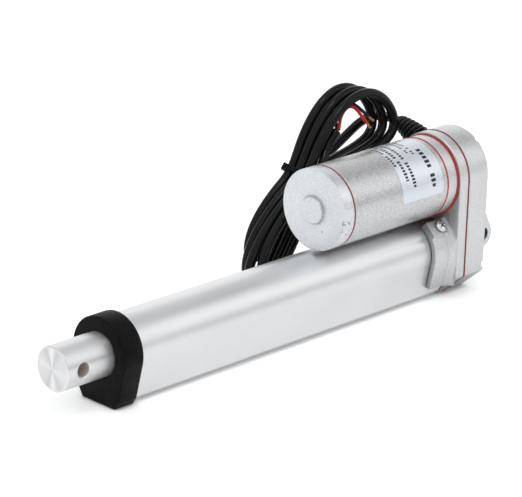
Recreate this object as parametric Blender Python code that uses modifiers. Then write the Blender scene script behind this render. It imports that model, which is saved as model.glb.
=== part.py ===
"""Linear actuator: a motor above and parallel to the tube, a two-stage spur gearbox behind
both, and a lead screw that pushes a rod out of the tube.

Frame: the origin is the centre of the rod's end face with the rod retracted. +X points out
along the rod, +Z points up to the motor, and the flat undersides rest at FLOOR_Z.
Two-dimensional outlines are lists of (y, z), and turned profiles are lists of (radius, x).
"""

import math

import bmesh
import bpy

MM = 0.001

# Fits
GAP = 0.3 * MM  # between round neighbours
SEAM = 0.1 * MM  # between flat neighbours
OVERLAP = 0.5 * MM  # how far joined shapes run into each other

# Driving dimensions
STROKE = 150 * MM
HOLE_TO_HOLE = STROKE + 105 * MM
EYE_HOLE_RADIUS = 3.2 * MM
EYE_HOLE_X = -9.2 * MM
LEAD = 4 * MM
FLOOR_Z = -22.35 * MM

# Rod, nut and screw
ROD_RADIUS = 10 * MM
ROD_BORE_RADIUS = 7 * MM
ROD_BORE_X = -47 * MM
ROD_CHAMFER = 0.5 * MM
NUT_FRONT_X = -194 * MM
NUT_SOCKET_X = -204 * MM
NUT_REAR_X = -218 * MM
SCREW_CREST_RADIUS = 5 * MM
SCREW_ROOT_RADIUS = 3.9 * MM
SCREW_FRONT_X = -54 * MM
SCREW_SHOULDER_X = -222 * MM
JOURNAL_RADIUS = 4 * MM
SCREW_REAR_X = -242 * MM
THREAD_PLAY = 0.35 * MM

# Front cap and tube
CAP_FRONT_X = -25.5 * MM
CAP_REAR_X = -36.7 * MM
CAP_RADIUS = 16.25 * MM
CAP_CENTRE_Z = 0.35 * MM
CAP_SIDE = [(12.2 * MM, -19 * MM), (10 * MM, FLOOR_Z)]
TUBE_RADIUS = 14.6 * MM
TUBE_BORE_RADIUS = 12.4 * MM
TUBE_SIDE = [(10.95 * MM, -19 * MM), (8.6 * MM, -21.2 * MM)]
CHANNEL_HALF_WIDTH = 6 * MM
CHANNEL_FLOOR_Z = -19.4 * MM
TUBE_FRONT_X = -29.3 * MM
TUBE_REAR_X = -231.9 * MM

# Gearbox housing
HOUSING_FRONT_X = -232.3 * MM
HOUSING_REAR_X = -237.85 * MM
COVER_FRONT_X = -238.45 * MM
COVER_REAR_X = -252.45 * MM
HOUSING_RADIUS = 20 * MM
HOUSING_SIDE = [(20 * MM, -11.6 * MM), (7.75 * MM, FLOOR_Z)]
WALL = 2.2 * MM
COLLAR_FRONT_X = -220.5 * MM
COLLAR_STEP_X = -228.5 * MM
COLLAR_FOOT_Z = -15.5 * MM
COVER_SCREWS = [(16.6 * MM, -8.5 * MM), (10.3 * MM, 48.1 * MM)]
TUBE_SCREW_X = -227.5 * MM
TUBE_SCREW_ANGLE = math.radians(46)
BOSS_RADIUS = 12.1 * MM
BOSS_FRONT_X = -223.5 * MM
BEARING_SEAT_X = -226 * MM
BEARING_RADIUS = 9.5 * MM

# Gears
MODULE = 0.8 * MM
MOTOR_TEETH, WHEEL_TEETH = 10, 34
PINION_TEETH, OUTPUT_TEETH = 12, 31
IDLER_Z = (PINION_TEETH + OUTPUT_TEETH) * MODULE / 2
MOTOR_Z = IDLER_Z + (MOTOR_TEETH + WHEEL_TEETH) * MODULE / 2
BACKLASH = 0.2 * MM
FRONT_GEARS_X = (-241.2 * MM, -235.4 * MM)
REAR_GEARS_X = (-248.4 * MM, -242.6 * MM)

# Motor
MOTOR_RADIUS = 18.98 * MM
MOTOR_CAP_X = (-161.55 * MM, -154.75 * MM)
CAN_X = (-224.35 * MM, -162.25 * MM)
ADAPTER_X = (-231.0 * MM, -224.95 * MM)
SHAFT_RADIUS = 2 * MM
MOTOR_FACETS = 40

# Cable
CABLE_RADIUS = 2.25 * MM
WIRE_RADIUS = 0.8 * MM
LAYER = 4.9 * MM  # spacing of neighbouring turns
COIL_NEAR_Y = -25.8 * MM
TURNS = 3
LOWER_LOOPS = (46.5, 56, 62, 56.5)  # lengths, in millimetres, the deepest first
UPPER_LOOPS = ((54, 33.5), (56, 32), (58.5, 30.5))  # lengths and widths, in millimetres
TIE_X, TIE_Z = -182.5 * MM, 36 * MM
STRAND_OFFSET = 2.6 * MM  # of each strand from the middle of the tied bundle
BUNDLE_ANGLE = math.radians(40)
BOOT_X = -245 * MM
BOOT_ANGLE = math.radians(150)

# Turned shapes and outlines lie across X: their local X, Y and Z are the world's Y, Z and X
ALONG_X = (math.pi / 2, 0, math.pi / 2)

SILVER = (0.72, 0.73, 0.74, 1)
ALUMINIUM = (0.80, 0.81, 0.82, 1)
STEEL = (0.62, 0.62, 0.63, 1)
BLACK = (0.02, 0.02, 0.02, 1)
RED = (0.55, 0.03, 0.03, 1)
BRASS = (0.75, 0.56, 0.25, 1)
COPPER = (0.70, 0.32, 0.14, 1)
NYLON = (0.85, 0.83, 0.76, 1)
WHITE = (0.82, 0.85, 0.90, 1)
DARK = (0.12, 0.12, 0.13, 1)


# ---------------------------------------------------------------- scene and materials

def clear_scene():
    for item in list(bpy.data.objects):
        bpy.data.objects.remove(item, do_unlink=True)


def new_collection(name):
    collection = bpy.data.collections.new(name)
    bpy.context.scene.collection.children.link(collection)
    return collection


def finish_with(item, color, roughness, metallic):
    name = "finish_" + item.name
    material = bpy.data.materials.new(name)
    material.use_nodes = True
    shader = material.node_tree.nodes["Principled BSDF"]
    shader.inputs["Base Color"].default_value = color
    shader.inputs["Roughness"].default_value = roughness
    shader.inputs["Metallic"].default_value = metallic
    item.data.materials.clear()
    item.data.materials.append(material)
    return item


def metal(item, color=STEEL, roughness=0.35):
    return finish_with(item, color, roughness, 1.0)


def plastic(item, color=BLACK, roughness=0.5):
    return finish_with(item, color, roughness, 0.0)


def paint(item):
    return finish_with(item, SILVER, 0.45, 0.6)


# ---------------------------------------------------------------- modelling helpers

def place(name, data, collection, location=(0, 0, 0), rotation=(0, 0, 0)):
    item = bpy.data.objects.new(name, data)
    item.location = location
    item.rotation_euler = rotation
    collection.objects.link(item)
    return item


def shade(mesh):
    mesh.shade_smooth()
    mesh.set_sharp_from_angle(angle=math.radians(35))


def curve_object(name, splines, collection, location, rotation, half_depth=0.0, bevel=0.0, radii=None):
    """A flat outline with a thickness, or a round bar with filled ends, as a closed mesh."""
    curve = bpy.data.curves.new(name, "CURVE")
    curve.dimensions = "2D" if half_depth else "3D"
    curve.fill_mode = "BOTH" if half_depth else "FULL"
    curve.extrude = half_depth
    curve.bevel_depth = bevel
    curve.bevel_resolution = 2
    curve.use_fill_caps = bevel > 0
    for points in splines:
        spline = curve.splines.new("POLY")
        spline.points.add(len(points) - 1)
        for index, point in enumerate(points):
            x, y, z = (*point, 0)[:3]
            spline.points[index].co = (x, y, z, 1)
            spline.points[index].radius = radii[index] if radii else 1
        spline.use_cyclic_u = half_depth > 0
    guide = place(name + "_curve", curve, collection, location, rotation)
    bpy.context.view_layer.update()
    evaluated = guide.evaluated_get(bpy.context.evaluated_depsgraph_get())
    mesh = bpy.data.meshes.new_from_object(evaluated)
    bpy.data.objects.remove(guide, do_unlink=True)
    mesh.name = name
    weld(mesh)
    return place(name, mesh, collection, location, rotation)


def weld(mesh):
    shape = bmesh.new()
    shape.from_mesh(mesh)
    bmesh.ops.remove_doubles(shape, verts=shape.verts, dist=0.002 * MM)
    bmesh.ops.recalc_face_normals(shape, faces=shape.faces)
    shape.to_mesh(mesh)
    shape.free()


def plate(name, outline, x_range, collection, holes=()):
    """An outline of (y, z) points, extruded along X between the two ends of x_range."""
    low, high = x_range
    centre = ((low + high) / 2, 0, 0)
    item = curve_object(name, [outline, *holes], collection, centre, ALONG_X, half_depth=(high - low) / 2)
    shade(item.data)
    return item


def turned(name, profile, collection, z=0.0, segments=40):
    """A profile of (radius, x) points turned about the X direction at height z."""
    mesh = bpy.data.meshes.new(name)
    count = len(profile)
    closed = profile[0][0] > 0
    edges = [(i, (i + 1) % count) for i in range(count if closed else count - 1)]
    mesh.from_pydata([(radius, 0, x) for radius, x in profile], edges, [])
    item = place(name, mesh, collection, (0, 0, z), ALONG_X)
    screw = item.modifiers.new("turn", "SCREW")
    screw.steps = screw.render_steps = segments
    screw.use_merge_vertices = True
    screw.merge_threshold = 0.002 * MM
    screw.use_smooth_shade = True
    return item


def applied(item):
    """The object with its modifiers made part of its mesh."""
    bpy.context.view_layer.update()
    evaluated = item.evaluated_get(bpy.context.evaluated_depsgraph_get())
    mesh = bpy.data.meshes.new_from_object(evaluated)
    item.modifiers.clear()
    item.data = mesh
    weld(mesh)
    shade(mesh)
    return item


def ring_profile(inner, outer, low, high):
    return [(inner, high), (outer, high), (outer, low), (inner, low)]


def ring(name, inner, outer, low, high, collection, z=0.0, segments=40):
    return applied(turned(name, ring_profile(inner, outer, low, high), collection, z, segments))


def solid_profile(*steps):
    """Profile of a shaft from (radius, front x, rear x) steps, front to rear."""
    points = [(0, steps[0][1])]
    for radius, front, rear in steps:
        points += [(radius, front), (radius, rear)]
    return points + [(0, steps[-1][2])]


def shaft(name, steps, collection, z=0.0, segments=24):
    return applied(turned(name, solid_profile(*steps), collection, z, segments))


def box(name, low, high, collection):
    bpy.ops.mesh.primitive_cube_add(size=1, location=[(a + b) / 2 for a, b in zip(low, high)])
    item = bpy.context.object
    item.name = item.data.name = name
    item.data.transform(item.matrix_basis.to_3x3().to_4x4() @ scale_matrix(low, high))
    for owner in list(item.users_collection):
        owner.objects.unlink(item)
    collection.objects.link(item)
    return item


def scale_matrix(low, high):
    import mathutils

    return mathutils.Matrix.Diagonal([b - a for a, b in zip(low, high)] + [1])


def bar(name, start, end, radius, collection, segments=12, tip_radius=None):
    """A round bar, or a cone, between two points."""
    import mathutils

    start, end = mathutils.Vector(start), mathutils.Vector(end)
    mesh = bpy.data.meshes.new(name)
    shape = bmesh.new()
    bmesh.ops.create_cone(
        shape,
        cap_ends=True,
        segments=segments,
        radius1=radius,
        radius2=radius if tip_radius is None else tip_radius,
        depth=(end - start).length,
    )
    shape.to_mesh(mesh)
    shape.free()
    turn = (end - start).to_track_quat("Z", "Y").to_euler()
    item = place(name, mesh, collection, (start + end) / 2, turn)
    shade(mesh)
    return item


def boolean(item, operation, *others):
    """Cuts, joins or keeps the shared part, and removes the helper shapes."""
    for other in others:
        step = item.modifiers.new(operation.lower(), "BOOLEAN")
        step.operation = operation
        step.solver = "EXACT"
        step.object = other
    applied(item)
    for other in others:
        bpy.data.objects.remove(other, do_unlink=True)
    return item


def cut(item, *cutters):
    return boolean(item, "DIFFERENCE", *cutters)


def join(item, *others):
    return boolean(item, "UNION", *others)


# ---------------------------------------------------------------- outlines

def arc(radius, start, end, count, centre=(0, 0)):
    """Points on an arc; the angles are in radians, measured from +Y towards +Z."""
    step = (end - start) / count
    angles = [start + step * i for i in range(count + 1)]
    return [(centre[0] + radius * math.cos(a), centre[1] + radius * math.sin(a)) for a in angles]


def circle(radius, centre=(0, 0), count=32):
    return arc(radius, 0, 2 * math.pi, count, centre)[:-1]


def tangent_angle(radius, centre_z, point):
    """Where a straight side through the point leaves a circle centred on the Z axis."""
    y, z = point[0], point[1] - centre_z
    reach = math.acos(min(1.0, radius / math.hypot(y, z)))
    return math.atan2(z, y) + reach


def round_top(radius, centre_z, side, count=28):
    """A round top whose two sides run down through the side points to a flat underside."""
    start = tangent_angle(radius, centre_z, side[0])
    points = arc(radius, start, math.pi - start, count, (0, centre_z))
    points += [(-y, z) for y, z in side]
    return points + [(y, z) for y, z in reversed(side)]


def grown_tube_side(offset, z):
    """Where the tube's straight side, moved outwards by the offset, crosses a height."""
    angle = tangent_angle(TUBE_RADIUS, 0, TUBE_SIDE[0])
    return (TUBE_RADIUS + offset - z * math.sin(angle)) / math.cos(angle), z


def bore_and_channel(grow=0.0):
    """The tube's round bore with the square channel under it."""
    half = CHANNEL_HALF_WIDTH + grow
    radius = TUBE_BORE_RADIUS + grow
    start = -math.acos(half / radius)
    points = arc(radius, start, math.pi - start, 28)
    return points + [(-half, CHANNEL_FLOOR_Z - grow), (half, CHANNEL_FLOOR_Z - grow)]


def involute(base_radius, roll):
    x = base_radius * (math.cos(roll) + roll * math.sin(roll))
    y = base_radius * (math.sin(roll) - roll * math.cos(roll))
    return math.hypot(x, y), math.atan2(y, x)


def gear_outline(teeth, tooth_angle, centre_z):
    """Involute teeth of 20 degrees, with one tooth centred on tooth_angle."""
    pressure = math.radians(20)
    pitch_radius = teeth * MODULE / 2
    base = pitch_radius * math.cos(pressure)
    root = pitch_radius - 1.2 * MODULE
    tip = pitch_radius + 0.95 * MODULE
    lowest = max(base, root + 0.1 * MODULE)
    half_tooth = math.pi / (2 * teeth) - BACKLASH / (2 * pitch_radius)
    half_tooth += math.tan(pressure) - pressure
    flank = []
    for share in (0, 1):
        radius = lowest + (tip - lowest) * share
        roll = math.sqrt((radius / base) ** 2 - 1)
        flank.append((radius, half_tooth - involute(base, roll)[1]))
    points = []
    for tooth in range(teeth):
        middle = tooth_angle + 2 * math.pi * tooth / teeth
        rising = [(root, middle - flank[0][1] * 1.05)] + [(r, middle - a) for r, a in flank]
        falling = [(r, middle + a) for r, a in reversed(flank)] + [(root, middle + flank[0][1] * 1.05)]
        points += [(r * math.cos(a), centre_z + r * math.sin(a)) for r, a in rising + falling]
    return points


# ---------------------------------------------------------------- rod, nut and screw

def thread_body(name, play, front, rear, collection, segments):
    """A right-hand threaded bar: one pitch of profile swept along a helix, closed at both ends."""
    root, crest = SCREW_ROOT_RADIUS + play, SCREW_CREST_RADIUS + play
    half_crest = LEAD * 0.14 + play * 0.75
    foot = half_crest + LEAD * 0.18
    turns = math.ceil((front - rear) / LEAD) + 2
    start = (math.floor(rear / LEAD) - 0.5) * LEAD
    steps = [(root, -foot), (crest, -half_crest), (crest, half_crest), (root, foot), (root, LEAD - foot)]
    profile = [(radius, 0, start + height) for radius, height in steps]
    mesh = bpy.data.meshes.new(name)
    edges = [(i, i + 1) for i in range(len(profile) - 1)]
    mesh.from_pydata(profile, edges, [])
    item = place(name, mesh, collection, (0, 0, 0), ALONG_X)
    sweep = item.modifiers.new("sweep", "SCREW")
    sweep.steps = sweep.render_steps = segments
    sweep.screw_offset = LEAD
    sweep.iterations = turns
    sweep.use_merge_vertices = True
    sweep.merge_threshold = 0.002 * MM
    applied(item)
    close_ends(item.data)
    return item


def close_ends(mesh):
    """Closes each open end with a fan of faces to a point on the axis."""
    shape = bmesh.new()
    shape.from_mesh(mesh)
    open_edges = [edge for edge in shape.edges if edge.is_boundary]
    middle = sum(vert.co.z for edge in open_edges for vert in edge.verts) / (2 * len(open_edges))
    for front in (True, False):
        edges = [e for e in open_edges if (e.verts[0].co.z > middle) == front]
        height = sum(vert.co.z for edge in edges for vert in edge.verts) / (2 * len(edges))
        centre = shape.verts.new((0, 0, height))
        for edge in edges:
            shape.faces.new([*edge.verts, centre])
    bmesh.ops.recalc_face_normals(shape, faces=shape.faces)
    shape.to_mesh(mesh)
    shape.free()


def make_screw(parts):
    screw = thread_body("lead_screw", 0, SCREW_FRONT_X, SCREW_SHOULDER_X, parts, 8)
    crest = SCREW_CREST_RADIUS + 0.01 * MM
    envelope = solid_profile((crest - 0.9 * MM, SCREW_FRONT_X, SCREW_FRONT_X - 0.01 * MM),
                             (crest + MM, SCREW_FRONT_X - 2 * MM, SCREW_SHOULDER_X))
    boolean(screw, "INTERSECT", applied(turned("envelope", envelope, parts, segments=16)))
    journal = shaft("journal", [
        (5.4 * MM, SCREW_SHOULDER_X + OVERLAP, -226.1 * MM),
        (JOURNAL_RADIUS, -226.1 * MM, -241.3 * MM),
        (3.2 * MM, -241.3 * MM, -241.7 * MM),
        (JOURNAL_RADIUS, -241.7 * MM, SCREW_REAR_X),
    ], parts)
    nose = shaft("nose", [(3.4 * MM, SCREW_FRONT_X + 4.5 * MM, SCREW_FRONT_X - OVERLAP)], parts)
    join(screw, journal, nose)
    metal(screw, STEEL, 0.3)
    stop = ring("screw_end_stop", 3.6 * MM, 6.5 * MM, SCREW_FRONT_X + 0.6 * MM, SCREW_FRONT_X + 3.4 * MM, parts)
    plastic(stop, NYLON)
    clip_outline = arc(5.6 * MM, 0.35, 2 * math.pi - 0.35, 20) + arc(3.5 * MM, 2 * math.pi - 0.35, 0.35, 20)
    metal(plate("gear_retaining_clip", clip_outline, (-241.68 * MM, -241.32 * MM), parts), DARK)


def make_rod(parts):
    profile = [
        (0, 0), (ROD_RADIUS - ROD_CHAMFER, 0), (ROD_RADIUS, -ROD_CHAMFER),
        (ROD_RADIUS, NUT_SOCKET_X + GAP), (ROD_BORE_RADIUS, NUT_SOCKET_X + GAP),
        (ROD_BORE_RADIUS, ROD_BORE_X), (0, ROD_BORE_X),
    ]
    rod = applied(turned("rod", profile, parts, segments=44))
    depth = ROD_RADIUS + 2 * MM
    eye = bar("eye", (EYE_HOLE_X, -depth, 0), (EYE_HOLE_X, depth, 0), EYE_HOLE_RADIUS, parts, 20)
    mouths = [
        bar("mouth", (EYE_HOLE_X, side * (ROD_RADIUS - 1.1 * MM), 0), (EYE_HOLE_X, side * depth, 0),
            EYE_HOLE_RADIUS - 0.2 * MM, parts, 20, EYE_HOLE_RADIUS + 3.2 * MM)
        for side in (1, -1)
    ]
    pin = bar("pin", (set_screw_x(), 0, 0), (set_screw_x(), 0, 12 * MM), 1.8 * MM, parts)
    metal(cut(rod, eye, *mouths, pin), ALUMINIUM, 0.28)


def set_screw_x():
    return (NUT_FRONT_X + NUT_SOCKET_X) / 2


def make_nut(parts):
    outer = BOSS_RADIUS - 0.05 * MM
    socket = ROD_RADIUS + GAP
    nut = shaft("drive_nut", [(outer, NUT_FRONT_X, NUT_REAR_X)], parts, segments=28)
    bore = shaft("bore", [(socket, NUT_FRONT_X + MM, NUT_SOCKET_X)], parts, segments=28)
    thread = thread_body("thread", THREAD_PLAY, NUT_SOCKET_X + 3 * MM, NUT_REAR_X - 3 * MM, parts, 12)
    fin = box("fin", (NUT_REAR_X, -3 * MM, -14.5 * MM), (NUT_SOCKET_X, 3 * MM, -11 * MM), parts)
    pin = bar("pin", (set_screw_x(), 0, ROD_RADIUS), (set_screw_x(), 0, 14 * MM), 1.8 * MM, parts)
    join(nut, fin)
    cut(nut, bore, thread, pin)
    plastic(nut, NYLON)
    screw = bar("rod_set_screw", (set_screw_x(), 0, 7.6 * MM), (set_screw_x(), 0, 11.7 * MM), 1.45 * MM, parts, 16)
    metal(screw, DARK, 0.4)


# ---------------------------------------------------------------- tube and front cap

def make_tube(parts):
    outline = round_top(TUBE_RADIUS, 0, TUBE_SIDE)
    tube = plate("outer_tube", outline, (TUBE_REAR_X, TUBE_FRONT_X), parts, [bore_and_channel()])
    holes = [tube_screw_bar("hole", 11 * MM, 20 * MM, 1.7 * MM, side, parts) for side in (1, -1)]
    dimple_x = CAP_REAR_X - 3 * MM
    dimple = bar("dimple", (dimple_x, 0, TUBE_RADIUS - 0.7 * MM), (dimple_x, 0, TUBE_RADIUS + MM),
                 0.3 * MM, parts, 12, 1.6 * MM)
    metal(cut(tube, *holes, dimple), ALUMINIUM, 0.3)


def make_front_cap(parts):
    outline = round_top(CAP_RADIUS, CAP_CENTRE_Z, CAP_SIDE)
    cap = plate("front_cap", outline, (CAP_REAR_X, CAP_FRONT_X), parts)
    bore = shaft("bore", [(ROD_RADIUS + GAP, CAP_FRONT_X + MM, CAP_REAR_X)], parts, segments=28)
    recess_side = [(y + GAP, z - (GAP if z < -20 * MM else 0)) for y, z in TUBE_SIDE]
    recess = plate("recess", round_top(TUBE_RADIUS + GAP, 0, recess_side),
                   (CAP_REAR_X - MM, TUBE_FRONT_X + GAP), parts)
    pocket = shaft("pocket", [(12.5 * MM, -28 * MM, TUBE_FRONT_X)], parts, segments=28)
    plastic(cut(cap, bore, recess, pocket), BLACK, 0.6)
    lip = [
        (ROD_RADIUS + 0.15 * MM, -28.4 * MM), (12.1 * MM, -28.4 * MM), (12.1 * MM, -31.4 * MM),
        (11 * MM, -31.4 * MM), (10.9 * MM, -29.6 * MM),
    ]
    plastic(applied(turned("rod_wiper_seal", lip, parts, segments=28)), DARK, 0.7)
    bush = ring("rod_guide_bush", ROD_RADIUS + 0.25 * MM, 12.1 * MM, -41.6 * MM, -31.7 * MM, parts, segments=28)
    metal(bush, BRASS, 0.4)


# ---------------------------------------------------------------- gearbox

def collar_outline(side, outer, lug):
    """One cheek of the collar around the tube, from under the motor down to its foot."""
    inner = TUBE_RADIUS + GAP
    start = tangent_angle(TUBE_RADIUS, 0, TUBE_SIDE[0])
    top = math.radians(61)
    points = arc(inner, top, start, 12)
    points.append(grown_tube_side(inner - TUBE_RADIUS, COLLAR_FOOT_Z))
    points.append(grown_tube_side(outer - TUBE_RADIUS, COLLAR_FOOT_Z))
    points += arc(outer, start, math.radians(30), 6)
    if lug:
        pad_from, pad_to = math.radians(34), math.radians(58)
        points += [(19.2 * MM * math.cos(a), 19.2 * MM * math.sin(a)) for a in (pad_from, pad_to)]
    else:
        points += arc(outer, math.radians(40), top, 3)
    return [(side * y, z) for y, z in points]


def tube_screw_bar(name, inner, outer, radius, side, parts, segments=12, tip_radius=None):
    """A bar along a tube screw's axis, between two distances from the tube's axis."""
    y, z = side * math.cos(TUBE_SCREW_ANGLE), math.sin(TUBE_SCREW_ANGLE)
    start = (TUBE_SCREW_X, inner * y, inner * z)
    end = (TUBE_SCREW_X, outer * y, outer * z)
    return bar(name, start, end, radius, parts, segments, tip_radius)


def cover_screw_places():
    return [(side * y, z) for y, z in COVER_SCREWS for side in (1, -1)]


def gearbox_outline(inset=0.0):
    side = [(HOUSING_SIDE[0][0] - inset, HOUSING_SIDE[0][1] + inset * 0.4),
            (HOUSING_SIDE[1][0] - inset * 0.4, HOUSING_SIDE[1][1] + inset)]
    return round_top(HOUSING_RADIUS - inset, MOTOR_Z, side)


def cavity_outline():
    return gearbox_outline(WALL)


def make_front_housing(parts):
    wall_rear = HOUSING_FRONT_X - WALL
    housing = plate("gearbox_front_housing", gearbox_outline(), (HOUSING_REAR_X, HOUSING_FRONT_X), parts)
    cheeks = []
    for side in (1, -1):
        front = (COLLAR_STEP_X, COLLAR_FRONT_X)
        rear = (HOUSING_FRONT_X - OVERLAP, COLLAR_STEP_X + 0.1 * MM)
        cheeks.append(plate("cheek", collar_outline(side, 17.4 * MM, True), front, parts))
        cheeks.append(plate("cheek", collar_outline(side, 18.6 * MM, True), rear, parts))
    boss = ring("boss", 9 * MM, BOSS_RADIUS, HOUSING_FRONT_X - OVERLAP, BOSS_FRONT_X, parts, segments=28)
    cut(housing, plate("cavity", cavity_outline(), (HOUSING_REAR_X - MM, wall_rear), parts))
    pillars = [
        bar("pillar", (HOUSING_REAR_X, y, z), (wall_rear + OVERLAP, y, z), 3 * MM, parts)
        for y, z in cover_screw_places()
    ]
    join(housing, *cheeks, boss, *pillars)
    seat = BEARING_RADIUS + SEAM
    cutters = [
        shaft("seat", [(6.3 * MM, BOSS_FRONT_X + MM, BEARING_SEAT_X),
                       (seat, BEARING_SEAT_X, -232.5 * MM),
                       (seat + 0.9 * MM, -232.5 * MM, -233.6 * MM),
                       (seat, -233.6 * MM, wall_rear - MM)], parts, segments=28),
        bar("shaft_hole", (wall_rear - MM, 0, MOTOR_Z), (HOUSING_FRONT_X + MM, 0, MOTOR_Z), 3 * MM, parts, 24),
        bar("axle_pocket", (wall_rear - MM, 0, IDLER_Z), (wall_rear + 1.3 * MM, 0, IDLER_Z), 1.8 * MM, parts),
        box("ribbon_slot", (wall_rear - MM, -3.2 * MM, -18.6 * MM),
            (HOUSING_FRONT_X + MM, 3.2 * MM, -17 * MM), parts),
    ]
    cutters += [
        bar("screw_hole", (HOUSING_REAR_X - MM, y, z), (wall_rear + MM, y, z), 1.7 * MM, parts)
        for y, z in cover_screw_places()
    ]
    cutters += [
        bar("lead_hole", (wall_rear - MM, y, z), (HOUSING_FRONT_X + MM, y, z), 1.1 * MM, parts, 8)
        for y, z in lead_places()
    ]
    cutters += [tube_screw_bar("hole", 13.8 * MM, 22 * MM, 1.7 * MM, side, parts) for side in (1, -1)]
    paint(cut(housing, *cutters))


def make_gearbox_gasket(parts):
    x_range = (COVER_FRONT_X + SEAM, HOUSING_REAR_X - SEAM)
    gasket = plate("gearbox_gasket", gearbox_outline(-0.05 * MM), x_range, parts, [gearbox_outline(1.6 * MM)])
    plastic(gasket, RED, 0.5)


def lug_outline(centre_x):
    """The rear lug seen along Y, as (x, z) points, with a round nose under the hole."""
    nose = [(centre_x - 6.1 * MM * math.cos(math.radians(a)), -6.1 * MM * math.sin(math.radians(a)))
            for a in range(-35, 91, 15)]
    inside = COVER_REAR_X + OVERLAP * 2
    top = [(centre_x - 1.3 * MM, 10.7 * MM), (inside, 13.5 * MM)]
    return top[::-1] + nose + [(inside, -9 * MM)]


def make_rear_cover(parts):
    floor_x = COVER_REAR_X + WALL
    cover = plate("gearbox_rear_cover", gearbox_outline(), (COVER_REAR_X, COVER_FRONT_X), parts)
    cut(cover, plate("cavity", cavity_outline(), (floor_x, COVER_FRONT_X + MM), parts))
    hole_x = EYE_HOLE_X - HOLE_TO_HOLE
    lug = curve_object("lug", [[(x, z) for x, z in lug_outline(hole_x)]], parts,
                       (0, 0, 0), (math.pi / 2, 0, 0), half_depth=9 * MM)
    pillars = [
        bar("pillar", (floor_x - OVERLAP, y, z), (COVER_FRONT_X, y, z), 3 * MM, parts)
        for y, z in cover_screw_places()
    ]
    axle_boss = bar("axle_boss", (floor_x - OVERLAP, 0, IDLER_Z), (floor_x + 1.2 * MM, 0, IDLER_Z), 3.2 * MM, parts)
    join(cover, lug, *pillars, axle_boss)
    cutters = [
        bar("eye", (hole_x, -11 * MM, 0), (hole_x, 11 * MM, 0), EYE_HOLE_RADIUS, parts, 20),
        bar("axle_pocket", (floor_x - MM, 0, IDLER_Z), (floor_x + 2 * MM, 0, IDLER_Z), 1.8 * MM, parts),
    ]
    for y, z in cover_screw_places():
        cutters.append(bar("hole", (COVER_REAR_X - MM, y, z), (COVER_FRONT_X + MM, y, z), 1.7 * MM, parts))
        cutters.append(bar("head", (COVER_REAR_X - MM, y, z), (COVER_REAR_X + 2.4 * MM, y, z), 3.6 * MM, parts, 24))
    neck = [(BOOT_X, r * math.cos(BOOT_ANGLE), MOTOR_Z + r * math.sin(BOOT_ANGLE)) for r in (15 * MM, 22 * MM)]
    cutters.append(bar("neck", neck[0], neck[1], 3.4 * MM, parts, 20))
    paint(cut(cover, *cutters))


def pan_screw(name, head_at, direction, head_radius, length, shank_radius, parts):
    """A domed screw with a crossed recess; head_at is the underside of its head."""
    import mathutils

    forward = mathutils.Vector(direction)
    turn = forward.to_track_quat("Z", "Y").to_matrix()
    head = mathutils.Vector(head_at)
    profile = [(0, 1.9 * MM)]
    profile += [(head_radius * math.sin(a), 0.9 * MM + MM * math.cos(a)) for a in (0.8, math.pi / 2)]
    profile += [(head_radius, 0), (shank_radius, 0), (shank_radius, -length), (0, -length)]
    screw = turned(name, profile, parts, segments=16)
    screw.rotation_euler = turn.to_euler()
    screw.location = head
    applied(screw)
    blades = []
    for side in (0, 1):
        half = (0.32 * MM, head_radius * 0.62) if side else (head_radius * 0.62, 0.32 * MM)
        blade = box("blade", (-half[0], -half[1], 0.7 * MM), (half[0], half[1], 3 * MM), parts)
        centre = blade.location.copy()
        blade.rotation_euler = turn.to_euler()
        blade.location = head + turn @ centre
        blades.append(blade)
    return metal(cut(screw, *blades), STEEL, 0.2)


def make_gearbox_screws(parts):
    for number, (y, z) in enumerate(cover_screw_places(), 1):
        under_head = (COVER_REAR_X + 2.4 * MM - SEAM, y, z)
        pan_screw(f"cover_screw_{number}", under_head, (-1, 0, 0), 2.8 * MM, 13.6 * MM, 1.4 * MM, parts)
    for name, side in (("left", 1), ("right", -1)):
        pad = 19.2 * MM * math.cos(math.radians(12)) + SEAM
        outward = (0, side * math.cos(TUBE_SCREW_ANGLE), math.sin(TUBE_SCREW_ANGLE))
        under_head = (TUBE_SCREW_X, pad * outward[1], pad * outward[2])
        pan_screw(f"tube_screw_{name}", under_head, outward, 2.6 * MM, 6.1 * MM, 1.4 * MM, parts)


def make_gears(parts):
    up, down = math.pi / 2, -math.pi / 2
    output = plate("output_gear", gear_outline(OUTPUT_TEETH, up, 0), FRONT_GEARS_X, parts,
                   [circle(JOURNAL_RADIUS + SEAM, count=24)])
    metal(output, STEEL, 0.35)
    half_pitch = math.pi / PINION_TEETH
    pinion = plate("idler_pinion", gear_outline(PINION_TEETH, down + half_pitch, IDLER_Z), FRONT_GEARS_X, parts,
                   [circle(1.8 * MM, (0, IDLER_Z), 16)])
    hub = ring("hub", 1.8 * MM, 3.2 * MM, REAR_GEARS_X[0], FRONT_GEARS_X[0] + OVERLAP, parts, IDLER_Z, 16)
    metal(join(pinion, hub), STEEL, 0.35)
    wheel = plate("idler_wheel", gear_outline(WHEEL_TEETH, up, IDLER_Z), REAR_GEARS_X, parts,
                  [circle(3.4 * MM, (0, IDLER_Z), 20)])
    plastic(wheel, NYLON)
    half_pitch = math.pi / MOTOR_TEETH
    drive = plate("motor_pinion", gear_outline(MOTOR_TEETH, down + half_pitch, MOTOR_Z), REAR_GEARS_X, parts,
                  [circle(SHAFT_RADIUS + SEAM, (0, MOTOR_Z), 20)])
    metal(drive, BRASS, 0.35)
    axle = shaft("idler_axle", [(1.5 * MM, HOUSING_FRONT_X - 1.2 * MM, COVER_REAR_X + 1.5 * MM)], parts, IDLER_Z, 16)
    metal(axle, STEEL, 0.2)


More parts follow.
